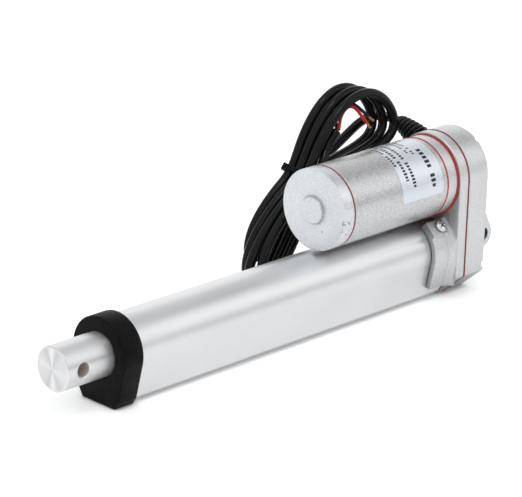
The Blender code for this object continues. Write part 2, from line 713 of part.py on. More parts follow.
def make_bearing(parts):
    x_range = (-232.2 * MM, BEARING_SEAT_X - SEAM)
    metal(ring("bearing_outer_ring", 8.2 * MM, BEARING_RADIUS, *x_range, parts, segments=28), STEEL, 0.15)
    metal(ring("bearing_inner_ring", JOURNAL_RADIUS + SEAM, 5.5 * MM, *x_range, parts, segments=28), STEEL, 0.15)
    middle = sum(x_range) / 2
    cage = ring("bearing_ball_cage", 6.5 * MM, 7.2 * MM, middle - 0.7 * MM, middle + 0.7 * MM, parts, segments=16)
    balls = []
    for number in range(7):
        angle = 2 * math.pi * number / 7
        bpy.ops.mesh.primitive_ico_sphere_add(
            subdivisions=2, radius=1.1 * MM,
            location=(middle, 6.85 * MM * math.cos(angle), 6.85 * MM * math.sin(angle)))
        balls.append(bpy.context.object)
    metal(join(cage, *balls), STEEL, 0.1)
    outline = arc(BEARING_RADIUS + 0.75 * MM, 0.5, 2 * math.pi - 0.5, 24)
    outline += arc(BEARING_RADIUS - 1.1 * MM, 2 * math.pi - 0.5, 0.5, 24)
    metal(plate("bearing_circlip", outline, (-233.4 * MM, -232.7 * MM), parts), DARK)


# ---------------------------------------------------------------- motor

def motor_ring(name, inner, outer, x_range, parts, segments=MOTOR_FACETS):
    return ring(name, inner, outer, x_range[0], x_range[1], parts, MOTOR_Z, segments)


def make_motor_shell(parts):
    low, high = MOTOR_CAP_X
    rim = 0.35 * MM
    cup = [
        (0, high + 1.2 * MM), (5.9 * MM, high + 1.2 * MM), (6.2 * MM, high + 0.9 * MM), (6.2 * MM, high),
        (MOTOR_RADIUS - rim, high), (MOTOR_RADIUS, high - rim), (MOTOR_RADIUS, low), (17 * MM, low),
        (17 * MM, high - 2.5 * MM), (5.5 * MM, high - 2.5 * MM), (5.5 * MM, low + MM), (3.3 * MM, low + MM),
        (3.3 * MM, high - 1.2 * MM), (0, high - 1.2 * MM),
    ]
    paint(applied(turned("motor_end_cap", cup, parts, MOTOR_Z, MOTOR_FACETS)))
    gasket_x = (CAN_X[1] + SEAM, low - SEAM)
    plastic(motor_ring("motor_end_gasket", 16.6 * MM, MOTOR_RADIUS, gasket_x, parts), RED)
    paint(motor_ring("motor_can", 17.3 * MM, MOTOR_RADIUS, CAN_X, parts))
    gasket_x = (ADAPTER_X[1] + SEAM, CAN_X[0] - SEAM)
    plastic(motor_ring("motor_rear_gasket", 16.6 * MM, MOTOR_RADIUS, gasket_x, parts), RED)
    adapter = motor_ring("motor_adapter", 3.3 * MM, MOTOR_RADIUS, ADAPTER_X, parts)
    well = motor_ring("well", 5.5 * MM, 16.6 * MM, (ADAPTER_X[0] + 2.5 * MM, ADAPTER_X[1] + MM), parts, 28)
    holes = [bar("lead_hole", (ADAPTER_X[0] - MM, y, z), (ADAPTER_X[1] + MM, y, z), 1.1 * MM, parts, 8)
             for y, z in lead_places()]
    paint(cut(adapter, well, *holes))
    gasket_x = (HOUSING_FRONT_X + SEAM, ADAPTER_X[0] - SEAM)
    plastic(motor_ring("adapter_gasket", 15.2 * MM, 19.3 * MM, gasket_x, parts), RED)


def make_motor_inside(parts):
    for name, side in (("left", 0), ("right", math.pi)):
        spread = math.radians(55)
        outline = arc(17 * MM, side - spread, side + spread, 10, (0, MOTOR_Z))
        outline += arc(13.8 * MM, side + spread, side - spread, 10, (0, MOTOR_Z))
        plastic(plate(f"motor_magnet_{name}", outline, (-212 * MM, -170 * MM), parts), DARK, 0.6)
    metal(shaft("motor_shaft", [(SHAFT_RADIUS, -156.6 * MM, -248.2 * MM)], parts, MOTOR_Z, 20), STEEL, 0.2)
    bore = circle(SHAFT_RADIUS + SEAM, (0, MOTOR_Z), 20)
    metal(plate("armature_core", slotted_outline(), (-207 * MM, -175 * MM), parts, [bore]), STEEL, 0.5)
    for name, low, high in (("front", -174.7 * MM, -167 * MM), ("rear", -214 * MM, -207.3 * MM)):
        round_over = 1.5 * MM
        profile = [
            (3.5 * MM, high), (10.5 * MM - round_over, high), (10.5 * MM, high - round_over),
            (10.5 * MM, low + round_over), (10.5 * MM - round_over, low), (3.5 * MM, low),
        ]
        metal(applied(turned(f"armature_winding_{name}", profile, parts, MOTOR_Z, 20)), COPPER, 0.4)
    metal(motor_ring("commutator", SHAFT_RADIUS + SEAM, 5 * MM, (-222 * MM, -215 * MM), parts, 16), COPPER)
    card_x = (-224.2 * MM, -222.6 * MM)
    card = motor_ring("brush_card", 6 * MM, 16.9 * MM, card_x, parts, 28)
    plastic(card, (0.35, 0.22, 0.10, 1))
    for name, side in (("left", 1), ("right", -1)):
        near, far = sorted((side * 5.3 * MM, side * 11 * MM))
        low = (-221 * MM, near, MOTOR_Z - 2 * MM)
        plastic(box(f"brush_{name}", low, (-217 * MM, far, MOTOR_Z + 2 * MM), parts), DARK)
    for name, x_range in (("front", (-160.4 * MM, -156.4 * MM)), ("rear", (-230.9 * MM, -226 * MM))):
        metal(motor_ring(f"motor_bush_{name}", SHAFT_RADIUS + SEAM, 3.2 * MM, x_range, parts, 16), BRASS)


def slotted_outline():
    """Five-slot stack: wide pole faces on narrow necks."""
    points = []
    pole = math.radians(29)
    for number in range(5):
        middle = 2 * math.pi * number / 5
        neck = [(5.2 * MM, middle - 0.42), (10.5 * MM, middle - 0.20)]
        face = [(13 * MM, middle + pole * share) for share in (-1, -0.5, 0, 0.5, 1)]
        shape = neck + [(11.2 * MM, middle - pole)] + face + [(11.2 * MM, middle + pole)]
        shape += [(10.5 * MM, middle + 0.20), (5.2 * MM, middle + 0.42)]
        points += [(r * math.cos(a), MOTOR_Z + r * math.sin(a)) for r, a in shape]
    return points


def make_label(parts):
    facet = 2 * math.pi / MOTOR_FACETS
    start, count = 0, 13
    outline = arc(MOTOR_RADIUS + 0.05 * MM, start, start + count * facet, count, (0, MOTOR_Z))
    outline += arc(MOTOR_RADIUS + 0.2 * MM, start + count * facet, start, count, (0, MOTOR_Z))
    plastic(plate("rating_label", outline, (-221.2 * MM, -193.6 * MM), parts), WHITE, 0.3)


# ---------------------------------------------------------------- electrical parts

def lead_places():
    """Where the two motor leads pass through the gearbox wall and the adapter."""
    return [(14 * MM * math.cos(a), MOTOR_Z + 14 * MM * math.sin(a)) for a in (2.5, 2.75)]


def make_switches(parts):
    strip_top = CHANNEL_FLOOR_Z + 1.3 * MM
    strip = box("limit_switch_strip", (-219 * MM, -4.5 * MM, CHANNEL_FLOOR_Z + GAP),
                (-44 * MM, 4.5 * MM, strip_top), parts)
    plastic(strip, (0.05, 0.25, 0.10, 1))
    for name, low in (("rear", -217 * MM), ("front", -54 * MM)):
        body_low = (low, -2.6 * MM, strip_top + SEAM)
        body = box(f"limit_switch_{name}", body_low, (low + 8 * MM, 2.6 * MM, -15.2 * MM), parts)
        button = box("button", (low + 3 * MM, -0.8 * MM, -16 * MM), (low + 5 * MM, 0.8 * MM, -14.9 * MM), parts)
        plastic(join(body, button), BLACK)
    ribbon = box("limit_switch_ribbon", (-237 * MM, -2.9 * MM, -18.2 * MM), (-219.3 * MM, 2.9 * MM, -17.4 * MM), parts)
    plastic(ribbon, (0.4, 0.4, 0.42, 1))


def boot_path():
    """Middle line of the boot, leaving the cover square and bending towards the cable."""
    points = []
    heights = [17.2, 20.2, 20.35, 21.6, 21.9] + [22.2 + 1.05 * i for i in range(11)] + [34.2]
    for height in heights:
        bend = max(0.0, height - 22) / 12
        angle = BOOT_ANGLE
        drop = 1.3 * MM * bend * bend
        y = height * MM * math.cos(angle) - 0.7 * drop
        z = MOTOR_Z + height * MM * math.sin(angle) - drop
        points.append((BOOT_X, y, z))
    return points


def boot_radii():
    """Neck, flange, then ribs that get smaller towards the cable."""
    radii = [3.0, 3.0, 5.3, 5.3, 4.2]
    for index in range(11):
        taper = 1 - index / 22
        radii.append((5.1 if index % 2 == 0 else 3.9) * taper + 0.4)
    return radii + [2.9]


def make_boot(parts):
    points = boot_path()
    boot = curve_object("cable_boot", [points], parts, (0, 0, 0), (0, 0, 0), bevel=MM, radii=boot_radii())
    shade(boot.data)
    plastic(boot, BLACK, 0.55)


def lobe(angle, length, widths, powers, from_outer):
    """A teardrop loop from the tie and back, as (x, z, share of the loop) offsets.

    Widths and powers are for the outer and the inner side: a higher power keeps that side
    narrow for longer as it leaves the tie. The loop starts on its outer or its inner side.
    """
    along_x, along_z = math.cos(angle), math.sin(angle)
    side_x, side_z = along_z, -along_x
    if not from_outer:
        side_x, side_z = -side_x, -side_z
    points = []
    count = 36
    for index in range(count + 1):
        turn = 2 * math.pi * index / count
        edge = 0 if (turn < math.pi) == from_outer else 1
        along = length * (1 - math.cos(turn)) / 2
        side = widths[edge] * math.sin(turn) * math.sin(turn / 2) ** powers[edge]
        side *= 1 if from_outer else -1
        points.append((along * along_x + side * side_x, along * along_z + side * side_z, index / count))
    return points


def smoothed(points, passes):
    for _ in range(passes):
        inner = [tuple((a + 2 * b + c) / 4 for a, b, c in zip(p, q, r))
                 for p, q, r in zip(points, points[1:], points[2:])]
        points = [points[0], *inner, points[-1]]
    return points


def spaced(points, step):
    """The same line with its points a nearly equal step apart."""
    lengths = [math.dist(a, b) for a, b in zip(points, points[1:])]
    total = sum(lengths)
    count = round(total / step)
    result, index, done = [points[0]], 0, 0.0
    for number in range(1, count):
        wanted = total * number / count
        while done + lengths[index] < wanted:
            done += lengths[index]
            index += 1
        share = (wanted - done) / lengths[index]
        result.append(tuple(a + (b - a) * share for a, b in zip(points[index], points[index + 1])))
    return [*result, points[-1]]


def cable_path():
    """From the boot into a coil of flat loops tied in the middle, one layer behind another."""
    shift_x, shift_z = STRAND_OFFSET * math.cos(BUNDLE_ANGLE), STRAND_OFFSET * math.sin(BUNDLE_ANGLE)
    deep = COIL_NEAR_Y - LAYER * TURNS
    back = deep - LAYER
    before, tip = boot_path()[-2:]
    ahead = [(b - a) / math.dist(before, tip) for a, b in zip(before, tip)]
    points = [tuple(t + a * reach for t, a in zip(tip, ahead)) for reach in (0.8 * MM, 6 * MM)]
    points += [(-244 * MM, deep - MM, 52.3 * MM), (-238 * MM, back - MM, 51 * MM), (-228 * MM, back - MM, 45.5 * MM),
               (-214 * MM, back - MM, 38 * MM), (-200 * MM, back, 33.5 * MM), (-190 * MM, back + LAYER / 2, 33.2 * MM)]
    y = deep
    for number in range(TURNS + 1):
        length = LOWER_LOOPS[number] * MM
        widths = (length * 0.26, length * 0.05)
        for x, z, share in lobe(math.radians(-56), length, widths, (1, 1), False):
            side = -math.cos(math.pi * share)
            points.append((TIE_X + x + side * shift_x, y + LAYER / 2 * share, TIE_Z + z + side * shift_z))
        y += LAYER / 2
        if number == TURNS:
            break
        length, width = (value * MM for value in UPPER_LOOPS[number])
        for x, z, share in lobe(math.radians(164.5), length, (width, length * 0.12), (0.7, 3), True):
            side = math.cos(math.pi * share)
            points.append((TIE_X + x + side * shift_x, y + LAYER / 2 * share, TIE_Z + z + side * shift_z))
        y += LAYER / 2
    end = [(-182.8, -22.5, 40), (-187.6, -25.2, 43.4), (-190.7, -28.5, 47.5), (-193.8, -29.1, 51.6), (-197.8, -27.4, 56.2)]
    points += [tuple(value * MM for value in point) for point in end]
    return spaced(smoothed(spaced(points, 2 * MM), 14), 7.5 * MM)


def wire_paths():
    """The two wires leave the end of the sheath and fold down behind the nearest turn."""
    end = cable_path()[-1]
    steps = {
        "red_wire": [(-0.5, 1, 1), (-5, -2.5, 5), (-10.5, -4, 9), (-15, -3, 8.5), (-17, 3, 1.5)],
        "black_wire": [(-1, -1, 1), (-5, -5.5, 5), (-10.5, -6.5, 9.5), (-16, -4.5, 9.5), (-20, 1.5, 3.5)],
    }
    return {
        name: spaced(smoothed(spaced([tuple(e + d * MM for e, d in zip(end, step)) for step in path], MM), 8), 3 * MM)
        for name, path in steps.items()
    }


def make_cable(parts):
    path = cable_path()
    cable = curve_object("power_cable", [path], parts, (0, 0, 0), (0, 0, 0), bevel=CABLE_RADIUS)
    shade(cable.data)
    plastic(cable, BLACK, 0.3)
    for (name, line), color in zip(wire_paths().items(), (RED, BLACK)):
        wire = curve_object(name, [line], parts, (0, 0, 0), (0, 0, 0), bevel=WIRE_RADIUS)
        shade(wire.data)
        plastic(wire, color, 0.35)


def make_cable_tie(parts):
    """A strap around the tied bundle with its lock on the outer side."""
    near, far = COIL_NEAR_Y + 5.5 * MM, COIL_NEAR_Y - LAYER * (TURNS + 0.8)
    half_y, half_n, thickness = (near - far) / 2, 7.7 * MM, 0.9 * MM
    inner = rounded_rectangle(half_y, half_n, 3 * MM)
    outer = rounded_rectangle(half_y + thickness, half_n + thickness, 3 * MM + thickness)
    direction = BUNDLE_ANGLE
    location = (TIE_X + 0.8 * MM, (near + far) / 2, TIE_Z - 1.4 * MM)
    strap = curve_object("cable_tie", [outer, inner], parts, (0, 0, 0), (0, 0, 0), half_depth=1.2 * MM)
    lock = box("lock", (-half_y - 2 * MM, half_n - 2.5 * MM, -2 * MM), (-half_y - 0.4 * MM, half_n + 1.5 * MM, 2 * MM), parts)
    join(strap, lock)
    strap.rotation_euler = (-(math.pi / 2 - direction), 0, math.pi / 2)
    strap.location = location
    plastic(strap, BLACK, 0.4)


def rounded_rectangle(half_width, half_height, radius):
    corners = [(1, 1, 0), (-1, 1, 90), (-1, -1, 180), (1, -1, 270)]
    points = []
    for side_x, side_y, start in corners:
        centre = (side_x * (half_width - radius), side_y * (half_height - radius))
        points += arc(radius, math.radians(start), math.radians(start + 90), 4, centre)
    return points


def make_motor_leads(parts):
    for name, (y, z), color in zip(("red", "black"), lead_places(), (RED, BLACK)):
        lead = bar(f"motor_lead_{name}", (-247 * MM, y, z), (-224.6 * MM, y, z), 0.7 * MM, parts, 8)
        plastic(lead, color)


def build():
    clear_scene()
    parts = new_collection("linear_actuator")
    make_rod(parts)
    make_nut(parts)
    make_screw(parts)
    make_tube(parts)
    make_front_cap(parts)
    make_front_housing(parts)
    make_gearbox_gasket(parts)
    make_rear_cover(parts)
    make_gearbox_screws(parts)
    make_gears(parts)
    make_bearing(parts)
    make_motor_shell(parts)
    make_motor_inside(parts)
    make_label(parts)
    make_switches(parts)
    make_boot(parts)
    make_cable(parts)
    make_cable_tie(parts)
    make_motor_leads(parts)


build()
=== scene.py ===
"""Looks for a linear actuator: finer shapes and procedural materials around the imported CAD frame.

Everything is in metres in the CAD's frame: +X points out along the rod, +Y is the near side and
+Z points up to the motor. Outlines are lists of (y, z) and turned profiles are lists of (radius, x).
"""

from math import acos, atan2, cos, dist, hypot, pi, radians, sin, sqrt, tan

import bmesh
import bpy
from mathutils import Matrix, Vector


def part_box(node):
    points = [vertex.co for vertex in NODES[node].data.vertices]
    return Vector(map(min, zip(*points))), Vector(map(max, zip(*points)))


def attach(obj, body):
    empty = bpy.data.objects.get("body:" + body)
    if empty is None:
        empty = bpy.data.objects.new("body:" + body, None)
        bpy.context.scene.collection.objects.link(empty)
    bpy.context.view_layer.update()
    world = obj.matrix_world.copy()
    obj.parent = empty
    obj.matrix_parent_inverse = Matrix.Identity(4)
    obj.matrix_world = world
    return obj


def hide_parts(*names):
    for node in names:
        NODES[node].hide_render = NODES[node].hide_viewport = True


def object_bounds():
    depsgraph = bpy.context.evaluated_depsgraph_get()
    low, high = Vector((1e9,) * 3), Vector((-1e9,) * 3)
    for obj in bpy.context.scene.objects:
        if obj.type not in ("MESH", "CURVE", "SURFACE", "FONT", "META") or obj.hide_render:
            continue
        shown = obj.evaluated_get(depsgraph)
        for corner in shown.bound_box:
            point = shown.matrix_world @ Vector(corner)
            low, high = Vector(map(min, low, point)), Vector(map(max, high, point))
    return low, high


MM = 0.001
WELD = 0.0015 * MM  # points closer than this become one


def mm(*values):
    return tuple(value * MM for value in values)


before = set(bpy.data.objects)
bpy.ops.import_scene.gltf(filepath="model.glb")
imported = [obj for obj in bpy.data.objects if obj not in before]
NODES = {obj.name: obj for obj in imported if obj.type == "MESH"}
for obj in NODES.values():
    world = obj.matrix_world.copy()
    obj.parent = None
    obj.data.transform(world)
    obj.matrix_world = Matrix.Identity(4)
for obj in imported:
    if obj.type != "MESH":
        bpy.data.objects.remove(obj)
CAD_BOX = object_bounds()

# Places that come from the CAD
ROD_LOW, ROD_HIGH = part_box("rod")
CAP_LOW, CAP_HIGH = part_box("front_cap")
TUBE_LOW, TUBE_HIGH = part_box("outer_tube")
MOTOR_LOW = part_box("motor_end_cap")[0]
FLOOR_Z = CAD_BOX[0].z
MOTOR_RADIUS = 18.98 * MM
MOTOR_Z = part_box("motor_can")[0].z + MOTOR_RADIUS
MOTOR_FRONT_X = -154.75 * MM
HOUSING_REAR_X = -237.85 * MM
HOUSING_FRONT_X = -232.3 * MM
COVER_FRONT_X = -238.45 * MM
COVER_REAR_X = -252.45 * MM
HOUSING_RADIUS = 20 * MM
HOUSING_SIDE = [mm(20, -11.6), mm(7.75, -22.35)]
WALL = 2.2 * MM
ROD_RADIUS = ROD_HIGH.z
ROD_BORE = 7 * MM
TUBE_RADIUS = 14.6 * MM
TUBE_SIDE = [mm(10.95, -19), mm(8.6, -21.2)]
EYE_X = -9.2 * MM
EYE_RADIUS = 3.2 * MM
REAR_EYE_X = EYE_X - 255 * MM
COVER_SCREWS = [mm(16.6, -8.5), mm(10.3, 48.1)]
TUBE_SCREW_X = -227.5 * MM
TUBE_SCREW_ANGLE = radians(46)
TUBE_SCREW_PAD = 19.2 * MM


# ------------ mesh helpers

def placed(name, data):
    item = bpy.data.objects.new(name, data)
    bpy.context.scene.collection.objects.link(item)
    return item


def from_bmesh(name, shape):
    bmesh.ops.remove_doubles(shape, verts=shape.verts, dist=WELD)
    bmesh.ops.recalc_face_normals(shape, faces=shape.faces)
    mesh = bpy.data.meshes.new(name)
    shape.to_mesh(mesh)
    shape.free()
    return placed(name, mesh)


def joined_rings(name, rings, closed_loop=False):
    """A closed body through rings of points; a ring of one point is a pole."""
    shape = bmesh.new()
    made = [[shape.verts.new(point) for point in ring] for ring in rings]
    pairs = list(zip(made, made[1:]))
    if closed_loop:
        pairs.append((made[-1], made[0]))
    for low, high in pairs:
        count = max(len(low), len(high))
        for i in range(count):
            j = (i + 1) % count
            corners = (low[i % len(low)], low[j % len(low)], high[j % len(high)], high[i % len(high)])
            corners = list(dict.fromkeys(corners))
            if len(corners) > 2:
                shape.faces.new(corners)
    if not closed_loop:
        for ring in (made[0], made[-1]):
            if len(ring) > 2:
                shape.faces.new(ring)
    return from_bmesh(name, shape)


def turned(name, profile, z=0.0, segments=96):
    """A (radius, x) profile turned about the X direction at height z."""
    rings = []
    for radius, x in profile:
        if radius < 1e-9:
            rings.append([(x, 0, z)])
            continue
        angles = [2 * pi * i / segments for i in range(segments)]
        rings.append([(x, radius * cos(a), z + radius * sin(a)) for a in angles])
    return joined_rings(name, rings, closed_loop=profile[0][0] > 0)


def softened(corners, steps=4):
    """Turns each (a, b, radius) corner into an arc of that radius."""
    points = []
    for index, (a, b, radius) in enumerate(corners):
        if not radius:
            points.append((a, b))
            continue
        here = Vector((a, b))
        u = (Vector(corners[index - 1][:2]) - here).normalized()
        v = (Vector(corners[(index + 1) % len(corners)][:2]) - here).normalized()
        half = u.angle(v) / 2
        centre = here + (u + v).normalized() * radius / sin(half)
        start = here + u * radius / tan(half) - centre
        end = here + v * radius / tan(half) - centre
        for k in range(steps + 1):
            way = (start * (1 - k / steps) + end * k / steps).normalized()
            points.append(tuple(centre + way * radius))
    return points


def stations(rear, front, rear_round, front_round, steps=4):
    """(x, inset) pairs that round the two edges of a slab."""
    def edge(radius):
        if not radius:
            return [(0, 0)]
        angles = [pi / 2 * k / steps for k in range(steps + 1)]
        return [(radius * (1 - cos(a)), radius * (1 - sin(a))) for a in angles]
    low = [(rear + depth, inset) for depth, inset in edge(rear_round)]
    high = [(front - depth, inset) for depth, inset in edge(front_round)]
    return low + high[::-1]


def slab(name, outline_of, rear, front, rear_round=0.0, front_round=0.0):
    """An outline of (y, z) points made thick along X, with rounded edges."""
    places = stations(rear, front, rear_round, front_round)
    return joined_rings(name, [[(x, y, z) for y, z in outline_of(inset)] for x, inset in places])


def prism(name, outline, rear, front):
    return joined_rings(name, [[(x, y, z) for y, z in outline] for x in (rear, front)])


def bar(start, end, radius, tip_radius=None, segments=32):
    start, end = Vector(start), Vector(end)
    shape = bmesh.new()
    bmesh.ops.create_cone(
        shape, cap_ends=True, segments=segments, radius1=radius,
        radius2=radius if tip_radius is None else tip_radius, depth=(end - start).length)
    turn = (end - start).to_track_quat("Z", "Y").to_matrix().to_4x4()
    bmesh.ops.transform(shape, matrix=Matrix.Translation((start + end) / 2) @ turn, verts=shape.verts)
    return from_bmesh("bar", shape)


def block(low, high, matrix=None):
    shape = bmesh.new()
    size = Matrix.Diagonal([b - a for a, b in zip(low, high)] + [1])
    centre = Matrix.Translation([(a + b) / 2 for a, b in zip(low, high)])
    bmesh.ops.create_cube(shape, size=1, matrix=(matrix or Matrix.Identity(4)) @ centre @ size)
    return from_bmesh("block", shape)


def swept(name, path, radii, segments=20):
    """A round body along a path, with domed ends."""
    points = [Vector(p) for p in path]
    radii = list(radii) if hasattr(radii, "__len__") else [radii] * len(points)
    last = len(points) - 1
    tangents = [(points[min(i + 1, last)] - points[max(i - 1, 0)]).normalized() for i in range(last + 1)]
    side = tangents[0].orthogonal().normalized()
    rings = []
    for point, tangent, radius in zip(points, tangents, radii):
        side = (side - tangent * side.dot(tangent)).normalized()
        other = tangent.cross(side)
        rings.append([point + (side * cos(a) + other * sin(a)) * radius
                      for a in (2 * pi * k / segments for k in range(segments))])
    for end, tangent, radius in ((0, -tangents[0], radii[0]), (-1, tangents[-1], radii[-1])):
        centre = points[end]
        dome = [[centre + (p - centre) * cos(a) + tangent * radius * 0.35 * sin(a) for p in rings[end]]
                for a in (0.6, 1.1)]
        rings = dome[::-1] + rings if end == 0 else rings + dome
    return joined_rings(name, rings)


def baked(item):
    bpy.context.view_layer.update()
    evaluated = item.evaluated_get(bpy.context.evaluated_depsgraph_get())
    mesh = bpy.data.meshes.new_from_object(evaluated)
    item.modifiers.clear()
    item.data = mesh
    shape = bmesh.new()
    shape.from_mesh(mesh)
    bmesh.ops.remove_doubles(shape, verts=shape.verts, dist=WELD)
    shape.to_mesh(mesh)
    shape.free()
    return item


def boolean(item, operation, *others):
    for other in others:
        step = item.modifiers.new(operation.lower(), "BOOLEAN")
        step.operation = operation
        step.solver = "EXACT"
        step.object = other
    baked(item)
    for other in others:
        bpy.data.objects.remove(other, do_unlink=True)
    return item


def cut(item, *cutters):
    return boolean(item, "DIFFERENCE", *cutters)


def join(item, *others):
    return boolean(item, "UNION", *others)


def show(item, material, node=None, body="housing", sharp=32):
    """Shades a finished piece, gives it its material and lets it ride on its body."""
    item.data.shade_smooth()
    item.data.set_sharp_from_angle(angle=radians(sharp))
    item.data.materials.clear()
    item.data.materials.append(material)
    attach(item, body)
    if node:
        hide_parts(node)
    return item


# ------------ outlines

def arc(radius, start, end, count, centre=(0, 0)):
    angles = [start + (end - start) * i / count for i in range(count + 1)]
    return [(centre[0] + radius * cos(a), centre[1] + radius * sin(a)) for a in angles]


def tangent_angle(radius, centre_z, point):
    """Where a straight side through the point leaves a circle centred on the Z axis."""
    y, z = point[0], point[1] - centre_z
    return atan2(z, y) + acos(min(1.0, radius / hypot(y, z)))


def round_top(radius, centre_z, side, count=72, corner=0.8 * MM):
    """A round top whose sides run down through the side points to a flat underside."""
    start = tangent_angle(radius, centre_z, side[0])
    lower = [(y, z, corner) for y, z in reversed(side)]
    first = (radius * cos(start), centre_z + radius * sin(start))
    right = softened([(0, side[-1][1], 0), *lower, (*first, 0)])[1:-1]
    points = arc(radius, start, pi - start, count, (0, centre_z))
    return points + [(-y, z) for y, z in reversed(right)] + right


def gearbox_outline(inset=0.0):
    side = [(HOUSING_SIDE[0][0] - inset, HOUSING_SIDE[0][1] + inset * 0.4),
            (HOUSING_SIDE[1][0] - inset * 0.4, HOUSING_SIDE[1][1] + inset)]
    return round_top(HOUSING_RADIUS - inset, MOTOR_Z, side, corner=1.6 * MM)


def cap_outline(inset=0.0):
    side = [((12.2 * MM) - inset, -19 * MM + inset * 0.3), (10 * MM - inset * 0.6, FLOOR_Z + inset)]
    return round_top(16.25 * MM - inset, 0.35 * MM, side, corner=0.7 * MM)


def tube_outline(grow=0.0):
    side = [(y + grow * 1.03, z - grow * 0.3) for y, z in TUBE_SIDE]
    return round_top(TUBE_RADIUS + grow, 0, side, corner=0.5 * MM)


def tube_side_at(offset, z):
    """Where the tube's straight side, moved outwards by the offset, crosses a height."""
    angle = tangent_angle(TUBE_RADIUS, 0, TUBE_SIDE[0])
    return (TUBE_RADIUS + offset - z * sin(angle)) / cos(angle), z


def tube_bore(grow=0.0):
    half, radius = 6 * MM + grow, 12.4 * MM + grow
    start = -acos(half / radius)
    return arc(radius, start, pi - start, 48) + [(-half, -19.4 * MM - grow), (half, -19.4 * MM - grow)]


# ------------ materials

class Finish:
    """A node material under construction. Places are object coordinates in millimetres."""

    def __init__(self, name):
        self.material = bpy.data.materials.new(name)
        self.material.use_nodes = True
        self.tree = self.material.node_tree
        self.shader = self.tree.nodes["Principled BSDF"]
        where = self.node("TexCoord").outputs["Object"]
        self.place = self.scaled(where, (1000, 1000, 1000))
        self.normal = None

    def node(self, kind, *inputs, **settings):
        made = self.tree.nodes.new("ShaderNode" + kind)
        for key, value in settings.items():
            setattr(made, key, value)
        for socket, value in zip(made.inputs, inputs):
            self.feed(socket, value)
        return made

    def feed(self, socket, value):
        if isinstance(value, bpy.types.NodeSocket):
            self.tree.links.new(value, socket)
        elif value is not None:
            socket.default_value = value

    def scaled(self, vector, factors):
        return self.node("VectorMath", vector, factors, operation="MULTIPLY").outputs[0]

    def math(self, operation, a, b=None, c=None):
        return self.node("Math", a, b, c, operation=operation).outputs[0]

    def add(self, a, b):
        return self.math("ADD", a, b)

    def less(self, a, b):
        return self.math("SUBTRACT", a, b)

    def times(self, a, b):
        return self.math("MULTIPLY", a, b)

    def vary(self, noise, low, high):
        """A noise, which mostly lies between 0.3 and 0.7, spread over a range."""
        return self.span(noise, 0.3, 0.7, low, high)

    def span(self, value, low, high, to_low=0.0, to_high=1.0):
        return self.node("MapRange", value, low, high, to_low, to_high).outputs[0]

    def noise(self, scale, detail=2.0, place=None, distortion=0.0):
        made = self.node("TexNoise")
        self.feed(made.inputs["Vector"], place or self.place)
        made.inputs["Scale"].default_value = scale
        made.inputs["Detail"].default_value = detail
        made.inputs["Distortion"].default_value = distortion
        return made.outputs[0]

    def flecks(self, scale):
        """A random value in each small cell."""
        made = self.node("TexVoronoi")
        self.feed(made.inputs["Vector"], self.place)
        made.inputs["Scale"].default_value = scale
        split = self.node("SeparateColor", made.outputs["Color"])
        return split.outputs[0]

    def distance_from(self, point):
        return self.node("VectorMath", self.place, point, operation="DISTANCE").outputs["Value"]

    def mix(self, share, a, b):
        return self.node("MixRGB", share, a, b).outputs[0]

    def toned(self, color, tone):
        """The colour, made lighter or darker by a factor."""
        made = self.node("VectorMath", color if isinstance(color, bpy.types.NodeSocket) else color[:3],
                         operation="SCALE")
        self.feed(made.inputs["Scale"], tone)
        return made.outputs[0]

    def painted_shade(self, distance, darkest_shade):
        """Painted shade: a factor that falls below 1 where surfaces close in on each other, darkening the
        colour there.
        """
        made = self.node("AmbientOcclusion", samples=6)
        made.inputs["Distance"].default_value = distance
        return self.span(made.outputs["AO"], 0.3, 0.95, darkest_shade, 1.0)

    def edges(self, radius=0.45 * MM):
        """1 on a sharp outer edge and 0 elsewhere; it also rounds the shading of the edge."""
        bevel = self.node("Bevel", radius, samples=4)
        self.normal = bevel.outputs[0]
        true = self.node("NewGeometry").outputs["Normal"]
        dot = self.node("VectorMath", bevel.outputs[0], true, operation="DOT_PRODUCT").outputs["Value"]
        return self.span(dot, 0.995, 0.86)

    def bump(self, height, depth, strength=1.0):
        made = self.node("Bump")
        made.inputs["Strength"].default_value = strength
        made.inputs["Distance"].default_value = depth
        self.feed(made.inputs["Height"], height)
        if self.normal:
            self.feed(made.inputs["Normal"], self.normal)
        self.normal = made.outputs["Normal"]

    def done(self, color, roughness, metallic=0.0, **others):
        inputs = self.shader.inputs
        self.feed(inputs["Base Color"], color)
        self.feed(inputs["Roughness"], roughness)
        self.feed(inputs["Metallic"], metallic)
        if self.normal:
            self.feed(inputs["Normal"], self.normal)
        for name, value in others.items():
            self.feed(inputs[name.replace("_", " ")], value)
        return self.material


def rgb(red, green, blue):
    return (red, green, blue, 1.0)


def surface(name, color, roughness, metallic=0.0, variation=0.1, grain=1.5, stretch=(1, 1, 1),
            depth=0.01 * MM, worn=None, reach=0.0, **others):
    """A plain finish with grain, broad colour variation and a little bump; a reach adds painted shade where
    surfaces close in.
    """
    f = Finish(name)
    mask = f.edges() if worn else None
    fine = f.noise(grain, 3, f.scaled(f.place, stretch))
    broad = f.noise(0.09, 2)
    tone = f.add(f.span(fine, 0.25, 0.75, 1 - variation, 1 + variation),
                 f.vary(broad, -variation / 2, variation / 2))
    # painted shade: with a reach, the tone is darkened where surfaces close in
    if reach:
        tone = f.times(tone, f.painted_shade(reach, 0.12))
    shade = f.toned(color, tone)
    if worn:
        patchy = f.times(mask, f.span(f.noise(0.9, 3), 0.35, 0.6))
        shade = f.mix(patchy, shade, worn)
    rough = f.span(fine, 0.25, 0.75, roughness * (1 - variation), roughness * (1 + variation))
    f.bump(fine, depth)
    return f.done(shade, rough, metallic, **others)


